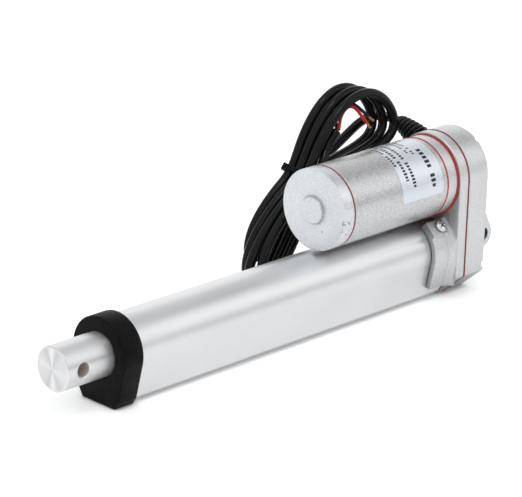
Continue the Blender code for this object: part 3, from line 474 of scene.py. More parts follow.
def silver_paint(name, color, roughness, grain=1.0, chips=0.0, metallic=0.55, marks=None,
                 reach=20 * MM, darkest_shade=0.5, plate=None, edge_highlight=0.5):
    """Sprayed silver paint over a casting: fine bright and dark flakes on a slightly rough skin, with
    painted shade where surfaces close in and a painted highlight along edges.
    """
    f = Finish(name)
    edge = f.edges(0.5 * MM)
    flakes = f.flecks(3.2)
    coarse = f.noise(1.5, 4)
    broad = f.noise(0.07, 3)
    tone = f.add(f.span(flakes, 0, 1, 1 - 0.09 * grain, 1 + 0.09 * grain),
                 f.vary(coarse, -0.08 * grain, 0.08 * grain))
    tone = f.add(tone, f.vary(broad, -0.035, 0.035))
    # painted shade: the colour is darkened where surfaces close in, down to the darkest factor
    tone = f.times(tone, f.painted_shade(reach, darkest_shade))
    # painted shade: faces that point along +X, such as the housing's front plate, are made darker
    if plate:
        facing = f.node("SeparateXYZ", f.node("NewGeometry").outputs["Normal"]).outputs[0]
        tone = f.times(tone, f.span(facing, 0.7, 1, 1, plate))
    shade = f.toned(color, tone)
    # painted highlight: a pale colour mixed in along sharp edges
    shade = f.mix(f.times(edge, edge_highlight), shade, rgb(0.94, 0.95, 0.97))
    if chips:
        spots = f.times(edge, f.span(f.noise(0.8, 3, distortion=0.6), 0.56, 0.62))
        shade = f.mix(f.times(spots, chips), shade, rgb(0.12, 0.11, 0.1))
    if marks:
        shade = f.mix(marks(f), shade, rgb(0.1, 0.095, 0.09))
    rough = f.add(f.span(flakes, 0, 1, roughness - 0.08, roughness + 0.08), f.vary(coarse, 0.04, -0.04))
    f.bump(coarse, 0.05 * MM, 0.7)
    f.bump(flakes, 0.012 * MM, 0.5)
    return f.done(shade, rough, metallic)


def anodised():
    """Satin extruded aluminium: very fine lines along X under a clear anodised skin."""
    f = Finish("satin_tube")
    lines = f.noise(3.2, 4, f.scaled(f.place, (0.012, 1, 1)))
    fine = f.noise(5.0, 2)
    broad = f.noise(0.035, 2)
    tone = f.add(f.vary(lines, 0.985, 1.015), f.vary(broad, -0.02, 0.02))
    scuffs = f.span(f.noise(0.5, 4, f.scaled(f.place, (0.15, 1, 1))), 0.68, 0.76, 0, 0.05)
    tone = f.add(tone, f.vary(fine, -0.022, 0.022))
    shade = f.toned(rgb(0.83, 0.835, 0.845), f.less(tone, scuffs))
    rough = f.add(f.vary(lines, 0.33, 0.36), f.vary(fine, -0.02, 0.02))
    f.bump(lines, 0.0015 * MM, 0.5)
    return f.done(shade, rough, 0.92)


def rod_finish():
    """Satin rod with sparse dark specks, and a turned end face with fine rings, painted bright and dark
    wedges of highlight and a painted bright rim.
    """
    f = Finish("satin_rod")
    split = f.node("SeparateXYZ", f.place)
    x, y, z = split.outputs
    radius = f.math("SQRT", f.add(f.times(y, y), f.times(z, z)))
    end_face = f.span(x, -0.35, -0.15)
    rings = f.node("TexNoise", noise_dimensions="1D")
    f.feed(rings.inputs["W"], radius)
    rings.inputs["Scale"].default_value = 4.0
    rings.inputs["Detail"].default_value = 3.0
    fine = f.noise(3.5, 3, f.scaled(f.place, (0.35, 1, 1)))
    specks = f.span(f.noise(1.15, 3), 0.70, 0.74)
    from_eye = f.math("POWER", f.add(x, -EYE_X / MM), 2.0)
    hole = f.math("LESS_THAN", f.math("SQRT", f.add(from_eye, f.math("POWER", z, 2.0))), 3.27)
    inside_hole = f.times(hole, f.math("LESS_THAN", radius, 9.35))
    angle = f.math("ARCTAN2", z, y)
    end_face_rings_and_painted_light = f.vary(rings.outputs[0], 0.93, 0.99)
    # painted highlights and shade: bright and dark wedges round the end face
    for way, power, change in ((1.62, 40, 0.2), (1.2, 30, -0.14), (2.9, 14, 0.12), (2.1, 60, -0.1)):
        across = f.math("ABSOLUTE", f.math("COSINE", f.less(angle, way)))
        end_face_rings_and_painted_light = f.add(end_face_rings_and_painted_light, f.times(f.math("POWER", across, power), change))
    # painted highlight: a bright ring at the end face's rim
    end_face_rings_and_painted_light = f.math("MAXIMUM", end_face_rings_and_painted_light, f.span(radius, 9.1, 9.3, 0, 1.12))
    tone = f.node("Mix", end_face, data_type="FLOAT")
    f.feed(tone.inputs[2], f.vary(fine, 0.97, 1.03))
    f.feed(tone.inputs[3], end_face_rings_and_painted_light)
    shade = f.toned(rgb(0.85, 0.85, 0.855), tone.outputs[0])
    shade = f.mix(f.times(specks, 0.35), shade, rgb(0.22, 0.2, 0.19))
    shade = f.mix(inside_hole, shade, rgb(0.60, 0.54, 0.48))
    height = f.node("Mix", end_face, data_type="FLOAT")
    f.feed(height.inputs[2], f.times(fine, 0.25))
    f.feed(height.inputs[3], rings.outputs[0])
    f.bump(height.outputs[0], 0.02 * MM, 0.5)
    rough = f.add(f.vary(fine, 0.34, 0.4), f.times(inside_hole, 0.4))
    tangent = f.node("Tangent", direction_type="RADIAL", axis="X")
    stretched = f.less(f.span(end_face, 0, 1, 0.75, 0.8), f.times(inside_hole, 0.75))
    turn = f.span(end_face, 0, 1, 0.25, 0.0)
    metal = f.less(1.0, f.times(inside_hole, 0.9))
    return f.done(shade, rough, metal, Anisotropic=stretched, Anisotropic_Rotation=turn,
                  Tangent=tangent.outputs[0])


def black_moulding():
    """Matt black moulding, mottled, with a painted sheen along its edges."""
    f = Finish("black_moulding")
    edge = f.edges(0.5 * MM)
    fine = f.noise(1.9, 4)
    broad = f.noise(0.22, 4, distortion=0.4)
    mottled = f.span(broad, 0.35, 0.7, 0, 0.75)
    shade = f.mix(mottled, rgb(0.002, 0.002, 0.0022), rgb(0.008, 0.008, 0.009))
    shade = f.mix(f.span(fine, 0.55, 0.75, 0, 0.35), shade, rgb(0.022, 0.022, 0.024))
    # painted highlight: a lighter grey along sharp edges stands in for their sheen
    shade = f.mix(f.times(edge, 0.45), shade, rgb(0.06, 0.06, 0.063))
    f.bump(fine, 0.03 * MM, 0.6)
    return f.done(shade, f.vary(fine, 0.4, 0.54), Specular_IOR_Level=0.09)


# x, half height, first angle, last angle and pitch of each row of plain printed bars
LABEL_ROWS = ((-214.8, 1.6, 7.6, 69, 2.3), (-210.3, 0.85, 60, 112, 1.35), (-207.6, 0.85, 66, 112, 1.35),
              (-202.2, 1.15, 15, 112, 1.6), (-198.3, 1.15, 26, 112, 1.6), (-194.9, 0.95, 50, 112, 1.5))


def label_finish():
    """Bluish white foil with rows of plain bars in place of print."""
    f = Finish("printed_foil")
    x, y, z = f.node("SeparateXYZ", f.place).outputs
    angle = f.math("ARCTAN2", f.less(z, MOTOR_Z / MM), y)
    ink = None
    for number, (row_x, half, first, last, pitch) in enumerate(LABEL_ROWS):
        across = f.math("DIVIDE", f.less(x, row_x), half)
        cell = f.math("DIVIDE", f.times(angle, 19.1), pitch)
        index = f.add(f.math("FLOOR", cell), 31.7 * number)
        chance = f.node("TexWhiteNoise", noise_dimensions="1D")
        f.feed(chance.inputs["W"], index)
        part = f.math("FRACT", cell)
        reach = f.span(chance.outputs[0], 0, 1, 0.6, 1.0)
        off_middle = f.math("ABSOLUTE", f.less(part, 0.5))
        bar_mask = f.times(f.math("LESS_THAN", f.math("ABSOLUTE", across), reach),
                           f.math("LESS_THAN", off_middle, 0.33))
        bar_mask = f.times(bar_mask, f.math("GREATER_THAN", chance.outputs[0], 0.13))
        inside = f.times(f.math("GREATER_THAN", angle, radians(first)),
                         f.math("LESS_THAN", angle, radians(last)))
        bar_mask = f.times(bar_mask, inside)
        ink = f.math("MAXIMUM", ink, bar_mask) if ink else bar_mask
    fine = f.noise(1.2, 3)
    crease = f.noise(0.16, 2)
    shade = f.toned(rgb(0.80, 0.845, 0.90), f.vary(fine, 0.98, 1.02))
    shade = f.mix(ink, shade, rgb(0.014, 0.014, 0.018))
    f.bump(crease, 0.25 * MM, 0.35)
    rough = f.add(f.vary(fine, 0.31, 0.35), f.times(ink, 0.2))
    metallic = f.less(0.55, f.times(ink, 0.55))
    return f.done(shade, rough, metallic)


def cable_finish(name, color, roughness=0.14):
    """Soft glossy sheath: faint waviness, fine dust and slightly dull patches."""
    f = Finish(name)
    wave = f.noise(0.35, 2)
    fine = f.noise(3.0, 2)
    dust = f.span(f.noise(0.9, 4), 0.56, 0.8, 0, 0.3)
    shade = f.toned(color, f.vary(wave, 0.85, 1.15))
    shade = f.mix(f.times(dust, 0.05), shade, rgb(0.3, 0.3, 0.3))
    rough = f.add(f.vary(wave, roughness - 0.04, roughness + 0.05), f.times(dust, 0.3))
    f.bump(wave, 0.12 * MM, 0.4)
    f.bump(fine, 0.006 * MM, 0.4)
    return f.done(shade, rough, Specular_IOR_Level=0.2)


def cap_marks(f):
    """Chipped paint low on the near side of the motor's cap, and one small dark dot on its face."""
    x, y, z = f.node("SeparateXYZ", f.place).outputs
    angle = f.math("ARCTAN2", f.less(z, MOTOR_Z / MM), y)
    around = f.span(f.math("ABSOLUTE", f.add(angle, 0.26)), 0.3, 0.14)
    along = f.times(f.span(x, -160.2, -159.2), around)
    chips = f.times(f.span(f.noise(0.75, 4, distortion=0.5), 0.55, 0.62), along)
    outer = f.span(f.distance_from((-156, 0, MOTOR_Z / MM)), 17.6, 18.4)
    dot = f.span(f.distance_from((MOTOR_FRONT_X / MM, 5.7, 25.85)), 0.42, 0.3, 0, 0.8)
    return f.math("MAXIMUM", f.times(f.times(chips, outer), 0.8), dot)


# the gearbox paint darkens its forward faces as painted shade
PAINT = silver_paint("gearbox_paint", rgb(0.72, 0.725, 0.735), 0.38, 0.9, metallic=0.85, plate=0.8)
CAN_PAINT = silver_paint("can_paint", rgb(0.66, 0.66, 0.667), 0.33, 1.7, metallic=0.88,
                         reach=8 * MM, darkest_shade=0.7)
# the motor's cap gets a stronger painted edge highlight and painted shade close round its boss
CAP_PAINT = silver_paint("motor_cap_paint", rgb(0.79, 0.815, 0.84), 0.38, 1.1, chips=0.4, metallic=0.85,
                         marks=cap_marks, reach=4 * MM, darkest_shade=0.7, edge_highlight=0.9)
TUBE = anodised()
ROD = rod_finish()
BLACK = black_moulding()
FOIL = label_finish()
GASKET = surface("red_gasket", rgb(0.5, 0.032, 0.028), 0.5, 0.0, 0.25, 2.5, depth=0.03 * MM)
DARK_GASKET = surface("thick_red_gasket", rgb(0.40, 0.02, 0.018), 0.55, 0.0, 0.25, 2.5, depth=0.03 * MM)
OLD_GASKET = surface("brownish_red_gasket", rgb(0.25, 0.035, 0.033), 0.55, 0.0, 0.3, 1.2, depth=0.03 * MM)
# the screws' reach paints shade into the recess of their heads
CHROME = surface("bright_screw", rgb(0.80, 0.81, 0.84), 0.1, 1.0, 0.15, 3.0, depth=0.006 * MM,
                 worn=rgb(0.95, 0.95, 0.96), reach=2.2 * MM)
SHEATH = cable_finish("black_sheath", rgb(0.006, 0.006, 0.0065))
RED_WIRE = cable_finish("red_insulation", rgb(0.6, 0.03, 0.02), 0.3)
BLACK_WIRE = cable_finish("black_insulation", rgb(0.014, 0.014, 0.015), 0.3)
RUBBER = surface("boot_rubber", rgb(0.007, 0.007, 0.0075), 0.42, 0.0, 0.2, 1.4, depth=0.03 * MM,
                 Specular_IOR_Level=0.35)
BARE_COPPER = surface("bare_copper", rgb(0.55, 0.27, 0.14), 0.32, 1.0, 0.25, 4.0, depth=0.02 * MM)

# slot: name, colour, roughness, metallic, variation, grain, stretch, depth in mm, worn edge
EVEN, ALONG = (1, 1, 1), (0.3, 1, 1)
PLAIN_FINISHES = {
    "steel": ("machined_steel", (0.56, 0.56, 0.57), 0.33, 1.0, 0.1, 2.5, ALONG, 0.012, (0.8, 0.8, 0.8)),
    "bright_steel": ("ground_steel", (0.72, 0.72, 0.74), 0.14, 1.0, 0.06, 4.0, ALONG, 0.004, None),
    "dark_steel": ("oiled_steel", (0.16, 0.155, 0.15), 0.38, 1.0, 0.15, 2.5, EVEN, 0.012, (0.4, 0.4, 0.4)),
    "bronze": ("sintered_bronze", (0.62, 0.42, 0.17), 0.45, 1.0, 0.2, 3.5, EVEN, 0.03, None),
    "copper": ("wound_copper", (0.66, 0.27, 0.11), 0.32, 1.0, 0.25, 2.4, (0.2, 1, 1), 0.12, None),
    "nylon": ("cream_nylon", (0.80, 0.76, 0.66), 0.42, 0.0, 0.06, 1.5, EVEN, 0.02, None),
    "board": ("green_board", (0.02, 0.16, 0.06), 0.4, 0.0, 0.2, 2.0, (1, 0.2, 1), 0.02, None),
    "ferrite": ("ferrite", (0.05, 0.048, 0.05), 0.6, 0.1, 0.3, 2.5, EVEN, 0.04, None),
    "brown_card": ("brown_card", (0.24, 0.12, 0.045), 0.6, 0.0, 0.2, 2.2, EVEN, 0.03, None),
    "black_rubber": ("black_rubber", (0.02, 0.02, 0.02), 0.6, 0.0, 0.25, 1.8, EVEN, 0.03, None),
    "ribbon": ("grey_ribbon", (0.33, 0.33, 0.35), 0.5, 0.0, 0.2, 1.2, (0.05, 1, 1), 0.05, None),
}
INSIDE = {"black_plastic": BLACK, "cable_black": SHEATH, "wire_red": RED_WIRE}
for slot, (name, color, *numbers, depth, worn) in PLAIN_FINISHES.items():
    INSIDE[slot] = surface(name, rgb(*color), *numbers, depth * MM, worn and rgb(*worn))

NODE_SLOTS = {
    "steel": "lead_screw output_gear idler_pinion motor_shaft armature_core",
    "bright_steel": "bearing_outer_ring bearing_inner_ring bearing_ball_cage idler_axle",
    "dark_steel": "gear_retaining_clip bearing_circlip rod_set_screw",
    "bronze": "rod_guide_bush motor_pinion motor_bush_front motor_bush_rear",
    "copper": "armature_winding_front armature_winding_rear commutator",
    "nylon": "drive_nut idler_wheel screw_end_stop",
    "black_plastic": "limit_switch_front limit_switch_rear",
    "board": "limit_switch_strip",
    "ferrite": "motor_magnet_left motor_magnet_right brush_left brush_right",
    "brown_card": "brush_card",
    "black_rubber": "rod_wiper_seal",
    "cable_black": "motor_lead_black",
    "wire_red": "motor_lead_red",
    "ribbon": "limit_switch_ribbon",
}


def finish_cad_nodes():
    for slot, names in NODE_SLOTS.items():
        for name in names.split():
            node = NODES[name]
            node.data.materials.clear()
            node.data.materials.append(INSIDE[slot])


# ------------ rod, tube and front cap

def make_rod():
    rear, bore_end = ROD_LOW.x, -47 * MM
    profile = softened([
        (0, 0, 0), (ROD_RADIUS - 0.55 * MM, 0, 0.12 * MM), (ROD_RADIUS, -0.55 * MM, 0.2 * MM),
        (ROD_RADIUS, rear, 0.3 * MM), (ROD_BORE, rear, 0.3 * MM), (ROD_BORE, bore_end, 0.5 * MM),
        (0, bore_end, 0),
    ])
    rod = turned("rod_detail", profile, segments=128)
    depth = 12 * MM
    mouths = [bar((EYE_X, side * 8.75 * MM, 0), (EYE_X, side * depth, 0),
                  EYE_RADIUS - 0.15 * MM, EYE_RADIUS + 3.1 * MM, 64) for side in (1, -1)]
    pin = bar((-199 * MM, 0, 0), (-199 * MM, 0, 12 * MM), 1.8 * MM)
    cut(rod, bar((EYE_X, -depth, 0), (EYE_X, depth, 0), EYE_RADIUS, segments=64), *mouths, pin)
    show(rod, ROD, "rod", "rod_assembly")


def tube_screw_line(inner, outer, radius, side):
    y, z = side * cos(TUBE_SCREW_ANGLE), sin(TUBE_SCREW_ANGLE)
    return bar((TUBE_SCREW_X, inner * y, inner * z), (TUBE_SCREW_X, outer * y, outer * z), radius)


def make_tube():
    rear, front = TUBE_LOW.x, TUBE_HIGH.x
    tube = slab("tube_detail", lambda inset: tube_outline(-inset), rear, front, 0.2 * MM, 0.2 * MM)
    bore = prism("bore", tube_bore(), rear - MM, front + MM)
    dimples = [bar((x, y, sqrt(TUBE_RADIUS ** 2 - y * y) - 0.55 * MM), (x, y, TUBE_RADIUS + MM),
                   0.2 * MM, 1.15 * MM, 20) for x, y in (mm(-39.4, 1.4), mm(-41.4, 2.6))]
    holes = [tube_screw_line(11 * MM, 20 * MM, 1.7 * MM, side) for side in (1, -1)]
    gap = block((rear - MM, -14 * MM, -23 * MM), (rear + 0.9 * MM, 14 * MM, -18.2 * MM))
    cut(tube, bore, gap, *dimples, *holes)
    show(tube, TUBE, "outer_tube")


def make_front_cap():
    rear, front = CAP_LOW.x, CAP_HIGH.x
    cap = slab("front_cap_detail", cap_outline, rear, front, 0.5 * MM, 0.9 * MM)
    tube_end = TUBE_HIGH.x + 0.3 * MM
    bore = turned("bore", [
        (0, front + MM), (11.6 * MM, front + MM), (10.35 * MM, front - 0.45 * MM),
        (10.3 * MM, front - 1.2 * MM), mm(10.3, -28), mm(12.5, -28),
        (12.5 * MM, tube_end - 0.1 * MM), (0, tube_end - 0.1 * MM)])
    recess = prism("recess", tube_outline(0.22 * MM), rear - MM, tube_end)
    cut(cap, bore, recess)
    show(cap, BLACK, "front_cap")


# ------------ gearbox

def collar_ring(side, outer, x):
    """One cheek of the collar at a place along X, from under the motor down to its foot."""
    inner = TUBE_RADIUS + 0.3 * MM
    start, top = tangent_angle(TUBE_RADIUS, 0, TUBE_SIDE[0]), radians(61)
    foot = -15.5 * MM
    points = arc(inner, top, start, 24)
    points.append(tube_side_at(inner - TUBE_RADIUS, foot))
    points.append(tube_side_at(outer - TUBE_RADIUS, foot))
    points += arc(outer, start, radians(31), 14)
    pad = max(TUBE_SCREW_PAD, outer)
    flat_from, flat_to = radians(34.5), radians(57.5)
    points += [(pad * cos(a), pad * sin(a)) for a in (flat_from, flat_to)]
    return [(x, side * min(y, 19.4 * MM), z) for y, z in points]


def make_cheek(side):
    """The cheek's wall, slightly thicker at the back and flaring out into the plate."""
    outers = [(-232.6, 21.6), (-232.3, 20.9), (-231.9, 20.2), (-231.4, 19.6), (-230.8, 19.1),
              (-229.9, 18.7), (-228.9, 18.5), (-228.5, 18.1), (-228.2, 17.7), (-227.6, 17.5),
              (-221.3, 17.4), (-220.9, 17.3), (-220.6, 17.05), (-220.5, 16.7)]
    return joined_rings("cheek", [collar_ring(side, outer * MM, x * MM) for x, outer in outers])


def cover_screw_places():
    return [(side * y, z) for y, z in COVER_SCREWS for side in (1, -1)]


def make_front_housing():
    wall_rear = HOUSING_FRONT_X - WALL
    housing = slab("gearbox_casting", gearbox_outline, HOUSING_REAR_X, HOUSING_FRONT_X, 0.25 * MM, 0.9 * MM)
    join(housing, make_cheek(1), make_cheek(-1))
    cutters = [prism("cavity", gearbox_outline(WALL), HOUSING_REAR_X - MM, wall_rear),
               bar((HOUSING_REAR_X - MM, 0, 0), (HOUSING_FRONT_X + MM, 0, 0), 9.6 * MM, segments=64),
               bar((wall_rear - MM, 0, MOTOR_Z), (HOUSING_FRONT_X + MM, 0, MOTOR_Z), 3 * MM)]
    cutters += [tube_screw_line(13.8 * MM, 22 * MM, 1.7 * MM, side) for side in (1, -1)]
    cut(housing, *cutters)
    show(housing, PAINT, "gearbox_front_housing")


def make_rear_cover():
    cover = slab("gearbox_cover_casting", gearbox_outline, COVER_REAR_X, COVER_FRONT_X, 1.5 * MM, 0.25 * MM)
    nose_radius, middle = 6.1 * MM, 1.5 * MM
    nose = [(REAR_EYE_X - nose_radius * cos(radians(a)), -nose_radius * sin(radians(a)))
            for a in range(-35, 91, 5)]
    inside = COVER_REAR_X + MM
    outline = [(inside, 13.5 * MM), (REAR_EYE_X - 1.3 * MM, 10.7 * MM), *nose, (inside, -9 * MM)]
    rings = []
    for y, inset in stations(-9 * MM, 9 * MM, 0.7 * MM, 0.7 * MM):
        ring = []
        for x, z in outline:
            away = Vector((x - COVER_REAR_X, z - middle))
            if x < COVER_REAR_X:
                pulled = away * (1 - inset / max(away.length, MM))
            else:
                pulled = Vector((away.x, away.y * (1 - inset / (10 * MM))))
            ring.append((COVER_REAR_X + pulled.x, y, middle + pulled.y))
        rings.append(ring)
    join(cover, joined_rings("lug", rings))
    cutters = [prism("cavity", gearbox_outline(WALL), COVER_REAR_X + WALL, COVER_FRONT_X + MM),
               bar((REAR_EYE_X, -11 * MM, 0), (REAR_EYE_X, 11 * MM, 0), EYE_RADIUS, segments=64)]
    cutters += [bar((REAR_EYE_X, side * 8.6 * MM, 0), (REAR_EYE_X, side * 10 * MM, 0),
                    EYE_RADIUS - 0.1 * MM, EYE_RADIUS + 1.3 * MM, 64) for side in (1, -1)]
    for y, z in cover_screw_places():
        radius = 3.25 * MM if z > 0 else 3.6 * MM
        cutters.append(bar((COVER_REAR_X - MM, y, z), (COVER_REAR_X + 2.4 * MM, y, z), radius, segments=48))
    cut(cover, *cutters)
    show(cover, PAINT, "gearbox_rear_cover")


def make_gearbox_gasket():
    x_range = (COVER_FRONT_X - 0.05 * MM, HOUSING_REAR_X + 0.05 * MM)
    gasket = slab("gearbox_gasket_detail", lambda inset: gearbox_outline(inset - 0.22 * MM),
                  *x_range, 0.15 * MM, 0.15 * MM)
    cut(gasket, prism("inner", gearbox_outline(1.6 * MM), x_range[0] - MM, x_range[1] + MM))
    show(gasket, OLD_GASKET, "gearbox_gasket")


def make_pan_screw(node, head_at, direction, head_radius, length):
    """A domed screw with a crossed recess; head_at is the underside of its head."""
    turn = Vector(direction).to_track_quat("X", "Z").to_matrix().to_4x4()
    place = Matrix.Translation(head_at) @ turn
    dome = [(head_radius * sin(a) ** 0.85, 0.75 * MM + 1.15 * MM * cos(a)) for a in
            (0.15, 0.35, 0.6, 0.85, 1.1, 1.3, pi / 2)]
    profile = [(0, 1.9 * MM), *dome, (head_radius, 0.15 * MM), (head_radius - 0.15 * MM, 0), (1.4 * MM, 0),
               (1.4 * MM, 0.5 * MM - length), (0.9 * MM, -length), (0, -length)]
    screw = turned(node + "_detail", profile, segments=48)
    screw.data.transform(place)
    blades = []
    for quarter in (0, 1):
        spin = Matrix.Rotation(pi / 2 * quarter + 0.5, 4, "X")
        blades.append(block((0.55 * MM, -head_radius * 0.6, -0.3 * MM),
                            (3 * MM, head_radius * 0.6, 0.3 * MM), place @ spin))
    pit = bar(place @ Vector((0.4 * MM, 0, 0)), place @ Vector((2.2 * MM, 0, 0)), 0.3 * MM, 0.75 * MM)
    cut(screw, *blades, pit)
    show(screw, CHROME, node)


def make_screws():
    for number, (y, z) in enumerate(cover_screw_places(), 1):
        seat = (COVER_REAR_X + 2.3 * MM, y, z)
        make_pan_screw(f"cover_screw_{number}", seat, (-1, 0, 0), 2.8 * MM, 13.5 * MM)
    for name, side in (("left", 1), ("right", -1)):
        pad = TUBE_SCREW_PAD * cos(radians(11.5)) + 0.05 * MM
        out = (0, side * cos(TUBE_SCREW_ANGLE), sin(TUBE_SCREW_ANGLE))
        seat = (TUBE_SCREW_X, pad * out[1], pad * out[2])
        make_pan_screw(f"tube_screw_{name}", seat, out, 3.0 * MM, 6.1 * MM)


# ------------ motor

def make_motor():
    low, high, outer = MOTOR_LOW.x, MOTOR_FRONT_X, MOTOR_RADIUS
    cup = softened([
        (0, high + 1.6 * MM, 0), (6.15 * MM, high + 1.6 * MM, 0.45 * MM), (6.3 * MM, high - 0.25 * MM, 0),
        (6.75 * MM, high - 0.25 * MM, 0), (7 * MM, high, 0.1 * MM), (outer, high, 0.35 * MM),
        (outer, low, 0.15 * MM), (17 * MM, low, 0), (17 * MM, high - 2.5 * MM, 0.5 * MM),
        (5.5 * MM, high - 2.5 * MM, 0), (5.5 * MM, low + MM, 0), (3.3 * MM, low + MM, 0),
        (3.3 * MM, high - 1.2 * MM, 0), (0, high - 1.2 * MM, 0),
    ])
    show(turned("motor_cap_detail", cup, MOTOR_Z, 128), CAP_PAINT, "motor_end_cap")
    for node, inner, radius, material, slot in (
            ("motor_end_gasket", 16.6, 19.15, OLD_GASKET, "red_gasket"),
            ("motor_can", 17.3, 18.98, CAN_PAINT, "silver_paint"),
            ("motor_rear_gasket", 16.6, 19.2, GASKET, "red_gasket"),
            ("adapter_gasket", 15.2, 19.35, DARK_GASKET, "red_gasket"),
            ("motor_adapter", 16.2, 18.98, PAINT, "silver_paint")):
        lower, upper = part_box(node)
        if radius > 19:
            lower.x, upper.x = lower.x - 0.08 * MM, upper.x + 0.08 * MM
        soft = min(0.2 * MM, (upper.x - lower.x) * 0.4)
        profile = softened([(inner * MM, upper.x, 0), (radius * MM, upper.x, soft),
                            (radius * MM, lower.x, soft), (inner * MM, lower.x, 0)])
        if node == "motor_adapter":
            web = lower.x + 2.5 * MM
            profile = profile[1:-1] + [(3.3 * MM, lower.x), (3.3 * MM, web),
                                       (inner * MM, web), (inner * MM, upper.x)]
        show(turned(node + "_detail", profile, MOTOR_Z, 144), material, node)


def make_label():
    """A thin sheet wrapped on the can, with rounded corners."""
    low, high, corner, radius = -221.2 * MM, -193.6 * MM, 1.2 * MM, 19.12 * MM
    first, last = radians(-4), radians(117.5)
    length = (last - first) * radius
    ends = [corner * t for t in (0, 0.08, 0.2, 0.4, 0.7, 1)]
    middle = [corner + (length - 2 * corner) * k / 90 for k in range(1, 90)]
    alongs = ends + middle + [length - e for e in reversed(ends)]
    shape = bmesh.new()
    rows = []
    for along in alongs:
        near = min(along, length - along, corner)
        inset = corner - sqrt(max(0.0, corner ** 2 - (corner - near) ** 2))
        angle = first + along / radius
        row = []
        for k in range(13):
            x = low + inset + (high - low - 2 * inset) * k / 12
            row.append(shape.verts.new((x, radius * cos(angle), MOTOR_Z + radius * sin(angle))))
        rows.append(row)
    for one, two in zip(rows, rows[1:]):
        for k in range(12):
            shape.faces.new((one[k], one[k + 1], two[k + 1], two[k]))
    label = from_bmesh("label_sheet", shape)
    outward = label.data.polygons[600].normal.dot(Vector((0, 0.5, 0.86)))
    thick = label.modifiers.new("thickness", "SOLIDIFY")
    thick.thickness = 0.11 * MM
    thick.offset = -1 if outward > 0 else 1
    baked(label)
    show(label, FOIL, "rating_label")


# ------------ cable

BOOT_X, BOOT_ANGLE = -245 * MM, radians(150)
TIE_X, TIE_Z = -182.5 * MM, 36 * MM
LAYER, TURNS, COIL_NEAR_Y = 4.9 * MM, 3, -25.8 * MM
LOWER_LOOPS = (46.5, 56, 62, 56.5)
UPPER_LOOPS = ((54, 33.5), (56, 32), (58.5, 30.5))
STRAND_OFFSET, BUNDLE_ANGLE = 2.6 * MM, radians(40)
CABLE_END = [(-182.8, -22.5, 40), (-187.6, -25.2, 43.4), (-190.7, -28.5, 47.5), (-193.8, -29.1, 51.6),
             (-197.8, -27.4, 56.2)]
WIRES = {
    "red_wire": [(-0.5, 1, 1), (-5, -2.5, 5), (-10.5, -4, 9), (-15, -3, 8.5), (-17, 3, 1.5)],
    "black_wire": [(-1, -1, 1), (-5, -5.5, 5), (-10.5, -6.5, 9.5), (-16, -4.5, 9.5), (-20, 1.5, 3.5)],
}


def boot_point(height):
    bend = max(0.0, height - 22) / 12
    drop = 1.3 * MM * bend * bend
    y = height * MM * cos(BOOT_ANGLE) - 0.7 * drop
    return BOOT_X, y, MOTOR_Z + height * MM * sin(BOOT_ANGLE) - drop


def make_boot():
    """Flange, then ribs that get smaller towards the cable."""
    path, radii = [], []
    flange = ((17.2, 3.0), (20.15, 3.0), (20.2, 5.0), (20.35, 5.3), (21.4, 5.3), (21.6, 5.1), (21.7, 4.2))
    for height, radius in flange:
        path.append(boot_point(height))
        radii.append(radius * MM)
    for step in range(1, 89):
        height = 21.8 + step * (34.2 - 21.8) / 88
        turn = (height - 22.2) / 1.05
        taper = 1 - max(0.0, turn) / 25
        wave = abs(cos(pi * turn / 2)) ** 0.7
        path.append(boot_point(height))
        radii.append(((3.8 + 2.0 * wave) * taper + 0.5) * MM)
    show(swept("cable_boot_detail", path, radii, 40), RUBBER, "cable_boot", sharp=50)


def lobe(angle, length, widths, powers, from_outer):
    """A teardrop loop from the tie and back, as (x, z, share of the loop) offsets."""
    along_x, along_z = cos(angle), sin(angle)
    flip = 1 if from_outer else -1
    side_x, side_z = flip * along_z, -flip * along_x
    points = []
    for index in range(37):
        turn = 2 * pi * index / 36
        edge = 0 if (turn < pi) == from_outer else 1
        along = length * (1 - cos(turn)) / 2
        side = flip * widths[edge] * sin(turn) * sin(turn / 2) ** powers[edge]
        points.append((along * along_x + side * side_x, along * along_z + side * side_z, index / 36))
    return points


def smoothed(points, passes):
    for _ in range(passes):
        inner = [tuple((a + 2 * b + c) / 4 for a, b, c in zip(p, q, r))
                 for p, q, r in zip(points, points[1:], points[2:])]
        points = [points[0], *inner, points[-1]]
    return points


def spaced(points, step):
    """The same line with its points a nearly equal step apart."""
    lengths = [dist(a, b) for a, b in zip(points, points[1:])]
    total = sum(lengths)
    count = round(total / step)
    result, index, done = [points[0]], 0, 0.0
    for number in range(1, count):
        wanted = total * number / count
        while done + lengths[index] < wanted:
            done += lengths[index]
            index += 1
        share = (wanted - done) / lengths[index]
        result.append(tuple(a + (b - a) * share for a, b in zip(points[index], points[index + 1])))
    return [*result, points[-1]]


